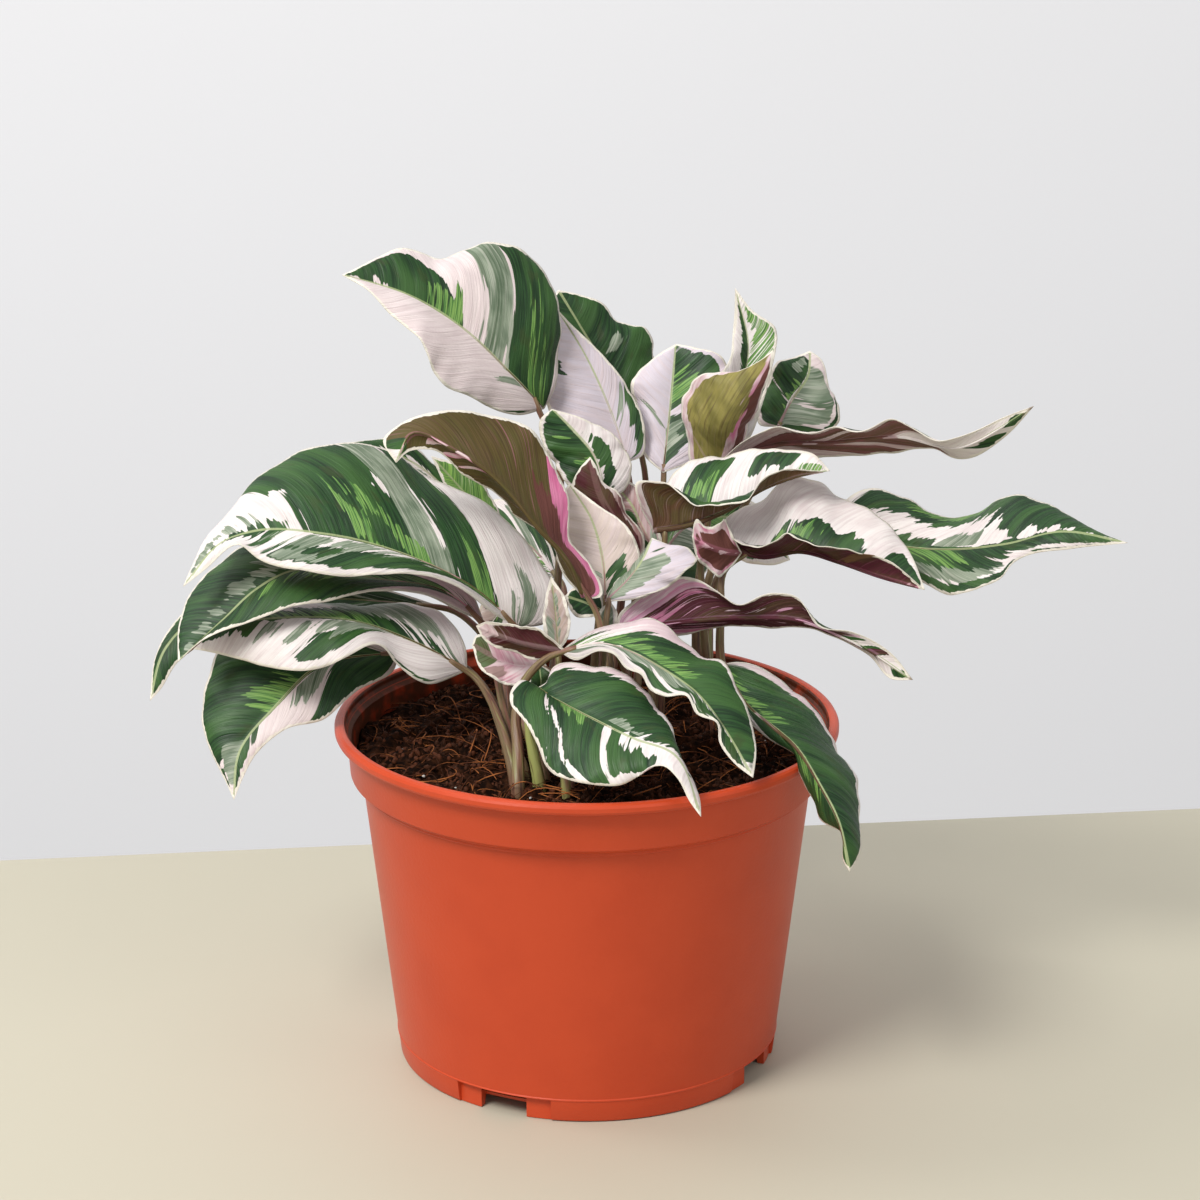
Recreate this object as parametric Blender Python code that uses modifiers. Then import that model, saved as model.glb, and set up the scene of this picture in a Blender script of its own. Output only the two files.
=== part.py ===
"""A potted calathea: a plastic nursery pot, its soil, and leaves on stalks that stand in the soil.

Metres, +Z up. The origin is the middle of the flat pad under the pot. -Y faces the viewer.
"""
import math

import bmesh
import bpy
from mathutils import Vector

MM = 0.001

# Pot, in millimetres
RIM_RADIUS = 76.0
POT_HEIGHT = 106.5
LIP_HEIGHT = 3.6
LIP_WIDTH = 3.2
COLLAR_TOP_RADIUS = 72.4
COLLAR_FOOT_RADIUS = 71.5
COLLAR_FOOT_HEIGHT = 91.0
LEDGE_WIDTH = 1.4
LEDGE_HEIGHT = 0.9
SHOULDER_RADIUS = 67.8
SHOULDER_HEIGHT = 88.4
ROUNDING = 0.6
FOOT_RADIUS = 57.8
FOOT_WIDTH = 3.0
WALL = 1.4
FLOOR = 2.0
PAD_RADIUS = 22.0
CHANNEL_HEIGHT = 3.0
POT_STEPS = 44

# Drain notches in the foot of the pot, in millimetres and degrees from the front
NOTCH_ANGLES = (-26.0, 64.0, 154.0, 244.0)
NOTCH_WIDTH = 15.0
NOTCH_HEIGHT = 6.0
RECESS_WIDTH = 31.0
RECESS_DEPTH = 0.7

# Soil, in millimetres
SOIL_LEVEL = 96.0
SOIL_CROWN = 4.0
SOIL_LUMP = 1.3
LUMP_ACROSS = 0.21
LUMP_ALONG = 0.19
SLANT_ACROSS = 0.37
SLANT_ALONG = 0.31
SLANT_SHARE = 0.6
SOIL_GAP = 0.3
SOIL_RINGS = 7
SOIL_STEPS = 28
STALK_DEPTH = 9.0
STALK_GAP = 0.3

# Leaves, in millimetres
BLADE_THICKNESS = 0.9
BLADE_BULGE = 0.09
BLADE_ROWS = 12
EDGE_WAVE = 1.1
EDGE_WAVES = 3.5
HALF_COLUMNS = 2
LEAN_PLACES = (0.0, 0.2, 0.5, 0.8, 1.0)
AHEAD = 0.03
WAVE_LAG = 1.9
WAVE_FULL_WIDTH = 15.0
STALK_STEPS = 5
STALK_RADIUS = 1.5
STALK_TOP_RADIUS = 0.85
STALK_INSET = 0.07
STALK_STAND = 4.0
STALK_COLLAR = 1.5
HOLE_SIDES = 6

# The view that the leaves are drawn in: pixels of a square picture, and millimetres
PICTURE_CENTRE = 600.0
LENS_PIXELS = 3441.4
EYE_DISTANCE = 1039.0
EYE_ELEVATION = math.radians(19.371)
VIEW_PITCH = math.radians(17.438)
VIEW_YAW = math.radians(0.232)


def sight(pixel_x, pixel_y, near):
    """The place seen at a pixel, `near` millimetres from the rim's middle towards the eye."""
    rim_middle = Vector((0.0, 0.0, POT_HEIGHT))
    towards_eye = Vector((0.0, -math.cos(EYE_ELEVATION), math.sin(EYE_ELEVATION)))
    eye = rim_middle + EYE_DISTANCE * towards_eye
    ahead = Vector((math.sin(VIEW_YAW) * math.cos(VIEW_PITCH),
                    math.cos(VIEW_YAW) * math.cos(VIEW_PITCH), -math.sin(VIEW_PITCH)))
    across = Vector((math.cos(VIEW_YAW), -math.sin(VIEW_YAW), 0.0))
    above = across.cross(ahead)
    ray = ahead + across * ((pixel_x - PICTURE_CENTRE) / LENS_PIXELS)
    ray += above * ((PICTURE_CENTRE - pixel_y) / LENS_PIXELS)
    return eye + ray * ((near - EYE_DISTANCE) / ray.dot(towards_eye))


def smooth_rail(points, share):
    """A point of a smooth curve through the points, at a share of its length."""
    lengths = [0.0]
    for first, second in zip(points, points[1:]):
        lengths.append(lengths[-1] + (second - first).length)
    reach = share * lengths[-1]
    span = 0
    while span < len(points) - 2 and reach > lengths[span + 1]:
        span += 1
    width = max(lengths[span + 1] - lengths[span], 1e-9)
    local = (reach - lengths[span]) / width
    start, end = points[span], points[span + 1]
    before = points[span - 1] if span > 0 else start + (start - end)
    after = points[span + 2] if span + 2 < len(points) else end + (end - start)
    before_width = max((start - before).length, 1e-9)
    after_width = max((after - end).length, 1e-9)
    leave = ((start - before) / before_width * width + (end - start) * before_width / width)
    leave *= width / (before_width + width)
    arrive = ((end - start) / width * after_width + (after - end) * width / after_width)
    arrive *= width / (after_width + width)
    square, cube = local * local, local ** 3
    return (start * (2 * cube - 3 * square + 1) + leave * (cube - 2 * square + local)
            + end * (3 * square - 2 * cube) + arrive * (cube - square))


def smooth_value(values, share):
    """A value that runs from nought through three values and back to nought."""
    rail = [Vector((place, value, 0.0)) for place, value
            in zip(LEAN_PLACES, (0.0,) + tuple(values) + (0.0,))]
    span = min(3, sum(share > point.x for point in rail[1:4]))
    first, second = rail[span], rail[span + 1]
    local = (share - first.x) / (second.x - first.x)
    return first.y + (second.y - first.y) * local * local * (3 - 2 * local)


def new_collection(name):
    collection = bpy.data.collections.new(name)
    bpy.context.scene.collection.children.link(collection)
    return collection


def new_material(name, colour, roughness):
    material = bpy.data.materials.new(name)
    material.use_nodes = True
    shader = material.node_tree.nodes["Principled BSDF"]
    shader.inputs["Base Color"].default_value = (*colour, 1.0)
    shader.inputs["Roughness"].default_value = roughness
    shader.inputs["Metallic"].default_value = 0.0
    material.diffuse_color = (*colour, 1.0)
    return material


def new_object(name, mesh, collection, material=None):
    piece = bpy.data.objects.new(name, mesh)
    collection.objects.link(piece)
    if material:
        mesh.materials.append(material)
    return piece


def mesh_from(name, points, faces):
    mesh = bpy.data.meshes.new(name)
    mesh.from_pydata([point * MM for point in points], [], faces)
    mesh.update()
    return mesh


def turned(name, profile, steps, collection, material):
    """A turned piece from a profile of radii and heights that runs down its outer side."""
    mesh = bpy.data.meshes.new(name)
    points = [(radius * MM, 0.0, height * MM) for radius, height in profile]
    edges = [(index, index + 1) for index in range(len(points) - 1)]
    mesh.from_pydata(points, edges, [])
    piece = new_object(name, mesh, collection, material)
    screw = piece.modifiers.new("Screw", "SCREW")
    screw.steps = steps
    screw.render_steps = steps
    screw.use_merge_vertices = True
    screw.merge_threshold = 0.0001
    screw.use_smooth_shade = True
    return piece


def hide_cutter(cutter):
    cutter.hide_render = True
    cutter.display_type = "WIRE"


def freeze(piece):
    """Applies a piece's modifiers."""
    graph = bpy.context.evaluated_depsgraph_get()
    mesh = bpy.data.meshes.new_from_object(piece.evaluated_get(graph))
    old = piece.data
    piece.modifiers.clear()
    piece.data = mesh
    bpy.data.meshes.remove(old)
    mesh.name = piece.name


def pot_profile():
    lip_foot = POT_HEIGHT - LIP_HEIGHT
    inner_rim = RIM_RADIUS - LIP_WIDTH
    return [
        (0.0, FLOOR), (PAD_RADIUS, FLOOR), (PAD_RADIUS + 2.0, FLOOR + CHANNEL_HEIGHT),
        (FOOT_RADIUS - WALL, FLOOR + CHANNEL_HEIGHT),
        (SHOULDER_RADIUS - WALL, SHOULDER_HEIGHT),
        (COLLAR_FOOT_RADIUS - WALL, COLLAR_FOOT_HEIGHT + ROUNDING),
        (COLLAR_TOP_RADIUS - WALL, lip_foot - 1.0), (inner_rim, lip_foot + 1.4),
        (inner_rim, POT_HEIGHT - 0.6), (inner_rim + 0.6, POT_HEIGHT),
        (RIM_RADIUS - 0.9, POT_HEIGHT), (RIM_RADIUS, POT_HEIGHT - 0.9),
        (RIM_RADIUS, lip_foot + 0.5), (RIM_RADIUS - 0.5, lip_foot),
        (COLLAR_TOP_RADIUS, lip_foot - 0.4),
        (COLLAR_FOOT_RADIUS, COLLAR_FOOT_HEIGHT), (COLLAR_FOOT_RADIUS - ROUNDING, COLLAR_FOOT_HEIGHT - ROUNDING),
        (SHOULDER_RADIUS + LEDGE_WIDTH, SHOULDER_HEIGHT + LEDGE_HEIGHT),
        (SHOULDER_RADIUS + LEDGE_WIDTH - 0.2, SHOULDER_HEIGHT), (SHOULDER_RADIUS, SHOULDER_HEIGHT - 0.3),
        (FOOT_RADIUS, 0.7), (FOOT_RADIUS - 0.7, 0.0), (FOOT_RADIUS - FOOT_WIDTH, 0.0),
        (FOOT_RADIUS - FOOT_WIDTH - 0.8, CHANNEL_HEIGHT), (PAD_RADIUS + 3.0, CHANNEL_HEIGHT),
        (PAD_RADIUS + 1.0, 0.0), (0.0, 0.0),
    ]


def notch_cutter(name, angle, width, height, depth, collection):
    """A box that cuts into the foot of the pot from outside, as deep as given."""
    reach = 10.0
    radius = FOOT_RADIUS - depth + reach / 2
    turn = math.radians(angle)
    bpy.ops.mesh.primitive_cube_add(size=1.0)
    cutter = bpy.context.object
    cutter.name = name
    cutter.scale = (width * MM, reach * MM, 2 * height * MM)
    cutter.location = (radius * math.sin(turn) * MM, -radius * math.cos(turn) * MM, 0.0)
    cutter.rotation_euler = (0.0, 0.0, turn)
    for holder in cutter.users_collection:
        holder.objects.unlink(cutter)
    collection.objects.link(cutter)
    hide_cutter(cutter)
    return cutter


def make_pot(parts, cutters, material):
    pot = turned("pot", pot_profile(), POT_STEPS, parts, material)
    for number, angle in enumerate(NOTCH_ANGLES, start=1):
        recess = notch_cutter(f"recess_{number}", angle, RECESS_WIDTH, NOTCH_HEIGHT + 1.0,
                              RECESS_DEPTH, cutters)
        notch = notch_cutter(f"notch_{number}", angle, NOTCH_WIDTH, NOTCH_HEIGHT,
                             FOOT_WIDTH + WALL, cutters)
        for cutter in (recess, notch):
            cut = pot.modifiers.new(cutter.name, "BOOLEAN")
            cut.object = cutter
            cut.operation = "DIFFERENCE"
    return pot


def soil_height(x, y):
    """The lumpy top of the soil, a little higher in the middle."""
    radius = math.hypot(x, y)
    crown = SOIL_CROWN * (1 - (radius / COLLAR_FOOT_RADIUS) ** 2)
    lumps = math.sin(LUMP_ACROSS * x + 1.3) * math.cos(LUMP_ALONG * y - 0.4)
    slants = SLANT_SHARE * math.sin(SLANT_ACROSS * x - SLANT_ALONG * y)
    return SOIL_LEVEL + crown + SOIL_LUMP * (lumps + slants)


def soil_radius(height):
    """The soil's radius at a height: a little inside the facets of the pot's inner wall."""
    wall = [(FLOOR + CHANNEL_HEIGHT, FOOT_RADIUS), (SHOULDER_HEIGHT, SHOULDER_RADIUS),
            (COLLAR_FOOT_HEIGHT, COLLAR_FOOT_RADIUS), (POT_HEIGHT - LIP_HEIGHT, COLLAR_TOP_RADIUS)]
    for (low, low_radius), (high, high_radius) in zip(wall, wall[1:]):
        if height <= high:
            break
    radius = low_radius + (high_radius - low_radius) * (height - low) / (high - low)
    return (radius - WALL) * math.cos(math.pi / POT_STEPS) - SOIL_GAP


def make_soil(parts, material):
    """A solid that fills the pot, with rings of points on its lumpy top."""
    wall_radius = soil_radius(SOIL_LEVEL)
    points = [Vector((0.0, 0.0, soil_height(0.0, 0.0)))]
    for ring in range(1, SOIL_RINGS + 1):
        radius = wall_radius * ring / SOIL_RINGS
        for step in range(SOIL_STEPS):
            turn = 2 * math.pi * (step + 0.5 * (ring % 2)) / SOIL_STEPS
            x, y = radius * math.cos(turn), radius * math.sin(turn)
            points.append(Vector((x, y, soil_height(x, y))))
    faces = [(0, 1 + step, 1 + (step + 1) % SOIL_STEPS) for step in range(SOIL_STEPS)]
    sides = [(soil_radius(height), height) for height
             in (COLLAR_FOOT_HEIGHT + 1.0, SHOULDER_HEIGHT, FLOOR + CHANNEL_HEIGHT + SOIL_GAP)]
    for radius, height in sides:
        for step in range(SOIL_STEPS):
            turn = 2 * math.pi * (step + 0.5 * (SOIL_RINGS % 2)) / SOIL_STEPS
            points.append(Vector((radius * math.cos(turn), radius * math.sin(turn), height)))
    for ring in range(SOIL_RINGS + len(sides) - 1):
        inner, outer = 1 + ring * SOIL_STEPS, 1 + (ring + 1) * SOIL_STEPS
        ahead = 0 if ring % 2 and ring < SOIL_RINGS else 1
        for step in range(SOIL_STEPS):
            after = (step + 1) % SOIL_STEPS
            if ahead:
                faces += [(inner + step, outer + step, outer + after),
                          (inner + step, outer + after, inner + after)]
            else:
                faces += [(inner + step, outer + step, inner + after),
                          (outer + step, outer + after, inner + after)]
    last = 1 + (SOIL_RINGS + len(sides) - 1) * SOIL_STEPS
    faces.append(tuple(last + step for step in reversed(range(SOIL_STEPS))))
    mesh = mesh_from("soil", points, faces)
    return new_object("soil", mesh, parts, material)

# Each leaf: the midrib from stalk to tip as pixels and a nearness in millimetres, its left and
# right edges as pixels, seen with its upper face up and its tip ahead, how much nearer than the
# midrib each edge lies at a fifth, half and four fifths of its length, the stalk's bends, and
# the place of the stalk in the soil in millimetres.
LEAVES = {
    "leaf_left_large": {
        "midrib": ((520, 628, 14), (475, 589, 20), (405, 555, 26), (322, 534, 30), (252, 532, 32),
                   (224, 542, 33), (183, 587, 34)),
        "left": ((500, 618), (451, 583), (374, 574), (315, 574), (256, 557), (241, 545), (205, 570)),
        "left_lean": (8, 14, 6),
        "right": ((547, 622), (558, 595), (542, 564), (518, 533), (482, 502), (440, 480), (384, 450),
                  (297, 452), (252, 482), (233, 510), (206, 538), (192, 566)),
        "right_lean": (-8, -16, -10),
        "stalk": ((521, 660, 16), (526, 730, 26)),
        "foot": (-12, -36),
    },
    "leaf_left_second": {
        "midrib": ((484, 622, 8), (447, 593, 12), (380, 580, 18), (284, 574, 22), (256, 590, 24),
                   (223, 621, 26), (178, 662, 28)),
        "left": ((464, 614), (419, 593), (379, 592), (308, 604), (252, 621), (215, 634), (192, 648)),
        "left_lean": (6, 10, 6),
        "right": ((470, 590), (400, 566), (300, 560), (244, 546), (216, 563), (192, 593), (179, 625)),
        "right_lean": (-6, -8, -8),
        "stalk": ((496, 670, 12), (512, 740, 24)),
        "foot": (-18, -32),
    },
    "leaf_left_third": {
        "midrib": ((467, 670, 10), (416, 643, 16), (352, 621, 20), (289, 618, 20), (215, 630, 15),
                   (186, 648, 12)),
        "left": ((453, 677), (428, 684), (396, 663), (381, 647), (340, 659), (306, 671), (239, 659),
                 (205, 651)),
        "left_lean": (5, 10, 5),
        "right": ((466, 650), (448, 618), (400, 604), (330, 606), (260, 606), (215, 618)),
        "right_lean": (-8, -12, -6),
        "stalk": ((487, 694, 16), (502, 730, 26)),
        "stalk_radius": 1.8,
        "foot": (-21, -39),
    },
    "leaf_left_low": {
        "midrib": ((398, 652, 2), (314, 669, 8), (278, 704, 12), (239, 754, 16), (234, 800, 18)),
        "left": ((395, 668), (358, 690), (327, 717), (286, 730), (256, 754), (243, 778)),
        "left_lean": (2, 4, 2),
        "right": ((370, 632), (290, 632), (225, 642), (209, 676), (201, 712), (213, 756), (226, 782)),
        "right_lean": (-6, -8, -3),
        "stalk": ((440, 654, 3), (470, 672, 6), (492, 700, 10), (506, 740, 18)),
        "foot": (-22, -29),
    },
    "leaf_left_far": {
        "midrib": ((440, 606, -10), (300, 600, -6), (200, 615, 0), (165, 650, 4), (150, 701, 6)),
        "left": ((380, 622), (290, 628), (210, 640), (178, 662), (160, 690)),
        "left_lean": (3, 4, 2),
        "right": ((380, 588), (290, 578), (215, 590), (178, 618), (156, 655)),
        "right_lean": (-3, -4, -2),
        "stalk": ((500, 660, -4),),
        "foot": (-24, -12),
    },
    "leaf_left_behind": {
        "midrib": ((480, 545, -22), (430, 475, -14), (380, 449, -8), (308, 452, -2)),
        "left": ((452, 545), (400, 484), (350, 458)),
        "left_lean": (3, 4, 2),
        "right": ((480, 510), (434, 463), (400, 440), (350, 443)),
        "right_lean": (-3, -4, -2),
        "stalk": ((520, 620, -20),),
        "foot": (-26, 12),
    },
    "leaf_left_young": {
        "midrib": ((505, 548, -8), (470, 500, -4), (431, 456, 0)),
        "left": ((480, 545), (448, 492)),
        "left_lean": (2, 2, 1),
        "right": ((500, 515), (462, 466)),
        "right_lean": (-2, -2, -1),
        "stalk": ((525, 620, -6),),
        "foot": (-16, 2),
    },
    "leaf_centre_olive": {
        "midrib": ((585, 599, 30), (567, 562, 34), (541, 533, 38), (488, 473, 42), (453, 450, 43),
                   (412, 434, 42), (396, 463, 40)),
        "left": ((601, 597), (592, 566), (569, 540), (570, 496), (551, 460), (526, 428), (476, 411),
                 (440, 412), (400, 424), (383, 440)),
        "left_lean": (-6, -12, -5),
        "right": ((566, 578), (552, 547), (517, 513), (466, 475), (430, 450), (408, 452)),
        "right_lean": (-6, -9, -4),
        "stalk": ((602, 622, 30), (603, 650, 31), (590, 720, 30)),
        "foot": (-4, -31),
    },
    "leaf_crown_west": {
        "midrib": ((544, 409, -6), (509, 372, 3), (462, 328, 9), (412, 297, 14), (342, 275, 18)),
        "left": ((521, 415), (468, 397), (447, 387), (433, 366), (418, 341), (389, 312), (367, 290)),
        "left_lean": (8, 14, 8),
        "right": ((556, 385), (559, 347), (560, 325), (553, 289), (535, 258), (488, 243), (444, 257),
                  (400, 249), (376, 258), (359, 267)),
        "right_lean": (-6, -8, -4),
        "stalk": ((558, 460, -9), (557, 600, -5)),
        "foot": (-9, -5),
    },
    "leaf_crown_pale": {
        "midrib": ((628, 462, -17), (610, 410, -17), (585, 355, -16), (556, 308, -14)),
        "left": ((600, 462), (560, 430), (545, 395), (548, 340)),
        "left_lean": (2, 4, 2),
        "right": ((642, 456), (645, 431), (625, 383), (600, 352), (568, 321)),
        "right_lean": (-1, -2, -1),
        "stalk": ((625, 560, -12),),
        "foot": (6, 8),
    },
    "leaf_crown_back": {
        "midrib": ((640, 440, -36), (615, 385, -36), (587, 338, -34), (558, 290, -32)),
        "left": ((600, 430), (570, 380), (553, 330), (552, 300)),
        "left_lean": (2, 3, 2),
        "right": ((665, 410), (657, 362), (645, 329), (620, 322), (602, 303), (584, 296)),
        "right_lean": (-4, -8, -4),
        "stalk": ((640, 540, -36),),
        "foot": (12, 36),
    },
    "leaf_crown_fan": {
        "midrib": ((663, 473, -18), (668, 430, -22), (672, 390, -24), (676, 344, -25)),
        "left": ((644, 455), (638, 413), (631, 385), (655, 357)),
        "left_lean": (-2, -3, -2),
        "right": ((690, 462), (720, 430), (730, 390), (721, 356), (697, 348)),
        "right_lean": (2, 3, 2),
        "stalk": ((664, 540, -22),),
        "foot": (22, 22),
    },
    "leaf_rolled": {
        "midrib": ((722, 462, -12), (738, 400, -16), (748, 350, -17), (735, 288, -15)),
        "left": ((704, 445), (712, 395), (729, 358), (734, 320)),
        "left_lean": (4, 5, 2),
        "right": ((748, 440), (766, 390), (776, 350), (776, 329), (752, 310)),
        "right_lean": (2, 2, 1),
        "lobe": {
            "midrib": ((718, 482, -12), (721, 455, -9), (724, 425, 0), (740, 396, 4), (773, 350, -2)),
            "left": ((692, 466), (687, 430), (682, 398), (693, 381), (712, 373), (737, 371), (761, 360)),
            "left_lean": (-4, -6, -3),
            "right": ((742, 446), (754, 415), (766, 384), (773, 361)),
            "right_lean": (-4, -6, -3),
        },
        "stalk": ((708, 520, -14), (697, 600, -17)),
        "foot": (34, 24),
    },
    "leaf_fan_east": {
        "midrib": ((778, 427, -26), (792, 400, -30), (808, 375, -32), (810, 351, -33)),
        "left": ((760, 425), (757, 402), (768, 382), (776, 363), (795, 357)),
        "left_lean": (-2, -3, -1),
        "right": ((805, 434), (838, 425), (838, 406), (829, 385), (820, 358)),
        "right_lean": (-2, -4, -2),
        "stalk": ((750, 500, -30), (714, 560, -31), (703, 640, -32)),
        "foot": (34, 32),
    },
    "leaf_east_wavy": {
        "midrib": ((722, 460, -5), (776, 444, -3), (838, 441, 4), (900, 436, 12), (960, 447, 16),
                   (1000, 428, 20), (1034, 406, 22)),
        "left": ((760, 458), (818, 458), (855, 457), (893, 450), (932, 451), (962, 459), (1005, 437)),
        "left_lean": (-8, -10, -4),
        "right": ((745, 440), (776, 428), (808, 435), (838, 425), (863, 432), (888, 421), (942, 440),
                  (971, 433), (1002, 418)),
        "right_lean": (8, 10, 4),
        "stalk": ((704, 520, -5), (702, 610, -8)),
        "foot": (39, 12),
    },
    "leaf_east_broad": {
        "midrib": ((836, 530, -20), (904, 547, -12), (946, 550, -4), (1009, 544, 6), (1062, 532, 12),
                   (1128, 543, 16)),
        "left": ((840, 508), (870, 488), (904, 497), (940, 517), (967, 515), (988, 503), (1020, 497),
                 (1051, 505), (1104, 535)),
        "left_lean": (-8, -12, -5),
        "right": ((858, 560), (925, 583), (950, 594), (980, 590), (1001, 579), (1011, 564), (1072, 549)),
        "right_lean": (8, 12, 4),
        "stalk": ((786, 532, -24), (738, 546, -25), (713, 590, -24), (709, 640, -23)),
        "foot": (38, 21),
    },
    "leaf_east_trough": {
        "midrib": ((735, 548, 6), (760, 556, 8), (800, 551, 10), (839, 562, 14), (880, 577, 18),
                   (925, 590, 22)),
        "left": ((722, 528), (740, 508), (768, 496), (786, 480), (817, 481), (845, 499), (888, 524),
                 (905, 544), (917, 568)),
        "left_lean": (-12, -16, -8),
        "right": ((728, 536), (743, 544), (757, 549), (771, 545), (788, 531), (813, 547), (848, 549),
                  (890, 562)),
        "right_lean": (10, 9, 4),
        "lobe": {
            "midrib": ((742, 553, 9), (722, 551, 14), (706, 545, 17), (692, 537, 18)),
            "left": ((733, 536), (724, 519), (712, 527), (705, 526), (697, 519)),
            "left_lean": (2, 3, 2),
            "right": ((732, 566), (719, 577), (708, 569), (698, 560)),
            "right_lean": (-1, -2, -1),
        },
        "stalk": ((724, 590, 7), (720, 627, 6)),
        "stalk_radius": 1.8,
        "foot": (43, 5),
    },
    "leaf_east_upper": {
        "midrib": ((652, 530, 12), (690, 524, 14), (725, 511, 14), (765, 488, 13), (800, 476, 13),
                   (830, 471, 13)),
        "left": ((650, 500), (666, 482), (691, 462), (737, 453), (784, 449), (813, 454)),
        "left_lean": (-8, -10, -4),
        "right": ((640, 505), (636, 484), (666, 484), (690, 501), (726, 507), (748, 500), (757, 483),
                  (785, 470), (818, 471)),
        "right_lean": (8, 8, 3),
        "stalk": ((668, 565, 10), (664, 610, 5)),
        "foot": (18, -1),
    },
    "leaf_purple": {
        "midrib": ((618, 631, 22), (680, 622, 18), (749, 617, 18), (794, 619, 20), (850, 640, 22),
                   (913, 680, 24)),
        "left": ((632, 640), (683, 634), (753, 626), (822, 633), (870, 656), (891, 679)),
        "left_lean": (-8, -8, -3),
        "right": ((618, 617), (632, 602), (655, 589), (683, 577), (714, 589), (734, 602), (775, 594), (797, 598),
                  (818, 625), (852, 632), (891, 653)),
        "right_lean": (4, 6, 3),
        "stalk": ((625, 670, 18), (632, 720, 20)),
        "foot": (12, -30),
    },
    "leaf_front_east": {
        "midrib": ((723, 664, 12), (749, 707, 26), (772, 726, 36), (796, 747, 45), (820, 785, 53),
                   (838, 820, 58), (850, 872, 60)),
        "left": ((738, 662), (778, 677), (815, 713), (842, 753), (858, 793), (861, 831), (859, 854)),
        "left_lean": (-6, -9, -4),
        "right": ((724, 690), (753, 726), (775, 744), (798, 757), (800, 772), (812, 800), (820, 819),
                  (846, 836), (843, 860)),
        "right_lean": (5, 6, 3),
        "stalk": ((730, 705, 9),),
        "foot": (44, -9),
    },
    "leaf_front_round": {
        "midrib": ((535, 689, 44), (594, 720, 58), (636, 740, 65), (673, 754, 70), (701, 817, 76)),
        "left": ((547, 682), (553, 668), (568, 662), (590, 664), (622, 674), (650, 695), (668, 722),
                 (677, 747), (681, 763), (693, 783), (700, 801)),
        "left_lean": (-10, -12, -5),
        "right": ((521, 680), (511, 690), (511, 704), (527, 727), (537, 744), (548, 768), (575, 783),
                  (608, 786), (634, 778), (650, 767), (662, 766), (676, 777), (690, 802)),
        "right_lean": (8, 9, 4),
        "stalk": ((530, 735, 41),),
        "stalk_radius": 2.0,
        "foot": (-14, -43),
    },
    "leaf_front_long": {
        "midrib": ((560, 652, 38), (595, 644, 42), (667, 672, 50), (698, 695, 54), (722, 726, 58),
                   (753, 778, 63)),
        "left": ((570, 644), (608, 625), (655, 621), (682, 640), (700, 652), (722, 661), (734, 684),
                 (748, 709), (754, 732), (756, 755)),
        "left_lean": (-8, -10, -5),
        "right": ((574, 660), (600, 651), (614, 655), (626, 669), (641, 674), (650, 689), (664, 697),
                  (687, 697), (696, 713), (717, 723), (719, 742), (735, 764)),
        "right_lean": (4, 5, 3),
        "lobe": {
            "midrib": ((566, 651, 39), (520, 643, 36), (476, 626, 34)),
            "left": ((540, 630), (505, 624), (486, 622)),
            "left_lean": (3, 4, 2),
            "right": ((545, 661), (515, 653), (484, 640)),
            "right_lean": (-3, -4, -2),
        },
        "stalk": ((534, 668, 35), (517, 700, 34), (518, 740, 36)),
        "stalk_radius": 2.0,
        "foot": (-20, -46),
    },
    "leaf_front_small": {
        "midrib": ((548, 668, 22), (510, 664, 24), (472, 645, 26)),
        "left": ((535, 683), (505, 684), (480, 668)),
        "left_lean": (2, 3, 2),
        "right": ((535, 648), (500, 640), (476, 636)),
        "right_lean": (-2, -4, -2),
        "stalk": ((546, 730, 23),),
        "foot": (-8, -22),
    },
    "leaf_pale_oval": {
        "midrib": ((606, 604, 16), (603, 560, 16), (592, 520, 15), (569, 483, 13)),
        "left": ((585, 596), (557, 560), (553, 515)),
        "left_lean": (-2, -3, -2),
        "right": ((624, 594), (640, 561), (630, 530), (598, 505)),
        "right_lean": (2, 3, 2),
        "stalk": ((606, 680, 18),),
        "foot": (4, -26),
    },
    "leaf_maroon": {
        "midrib": ((640, 560, 6), (618, 525, 7), (600, 495, 8), (590, 457, 8)),
        "left": ((622, 552), (589, 515), (572, 484), (580, 468)),
        "left_lean": (-2, -3, -1),
        "right": ((645, 545), (624, 507), (618, 492), (603, 482), (595, 464)),
        "right_lean": (-2, -3, -1),
        "stalk": ((640, 640, 6),),
        "foot": (14, -8),
    },
    "leaf_pink_flap": {
        "midrib": ((662, 562, 2), (646, 535, 0), (632, 505, -4), (613, 482, -8)),
        "left": ((646, 552), (628, 522), (616, 500)),
        "left_lean": (-1, -1, -1),
        "right": ((662, 540), (652, 515), (645, 497), (630, 482)),
        "right_lean": (1, 1, 1),
        "stalk": ((664, 620, 0),),
        "foot": (22, 6),
    },
    "leaf_spike": {
        "midrib": ((606, 500, -1), (593, 454, 1), (573, 430, 2), (552, 409, 3)),
        "left": ((575, 492), (554, 463), (542, 442), (540, 420)),
        "left_lean": (-1, -2, -1),
        "right": ((625, 490), (630, 458), (612, 434), (584, 419)),
        "right_lean": (-2, -3, -1),
        "stalk": ((606, 600, -2),),
        "foot": (4, -12),
    },
    "leaf_centre_folded": {
        "midrib": ((605, 602, 24), (628, 580, 24), (645, 556, 23), (652, 538, 21)),
        "left": ((610, 590), (637, 561), (648, 545)),
        "left_lean": (-3, -4, -2),
        "right": ((640, 598), (665, 588), (686, 572), (697, 558), (690, 549), (670, 545)),
        "right_lean": (3, 4, 2),
        "stalk": ((610, 650, 25), (611, 700, 27)),
        "foot": (2, -39),
    },
    "leaf_centre_dark": {
        "midrib": ((604, 612, 20), (588, 604, 20), (565, 596, 21)),
        "left": ((596, 616), (575, 616)),
        "left_lean": (1, 1, 1),
        "right": ((599, 592), (575, 587)),
        "right_lean": (-1, -1, -1),
        "lobe": {
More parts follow.
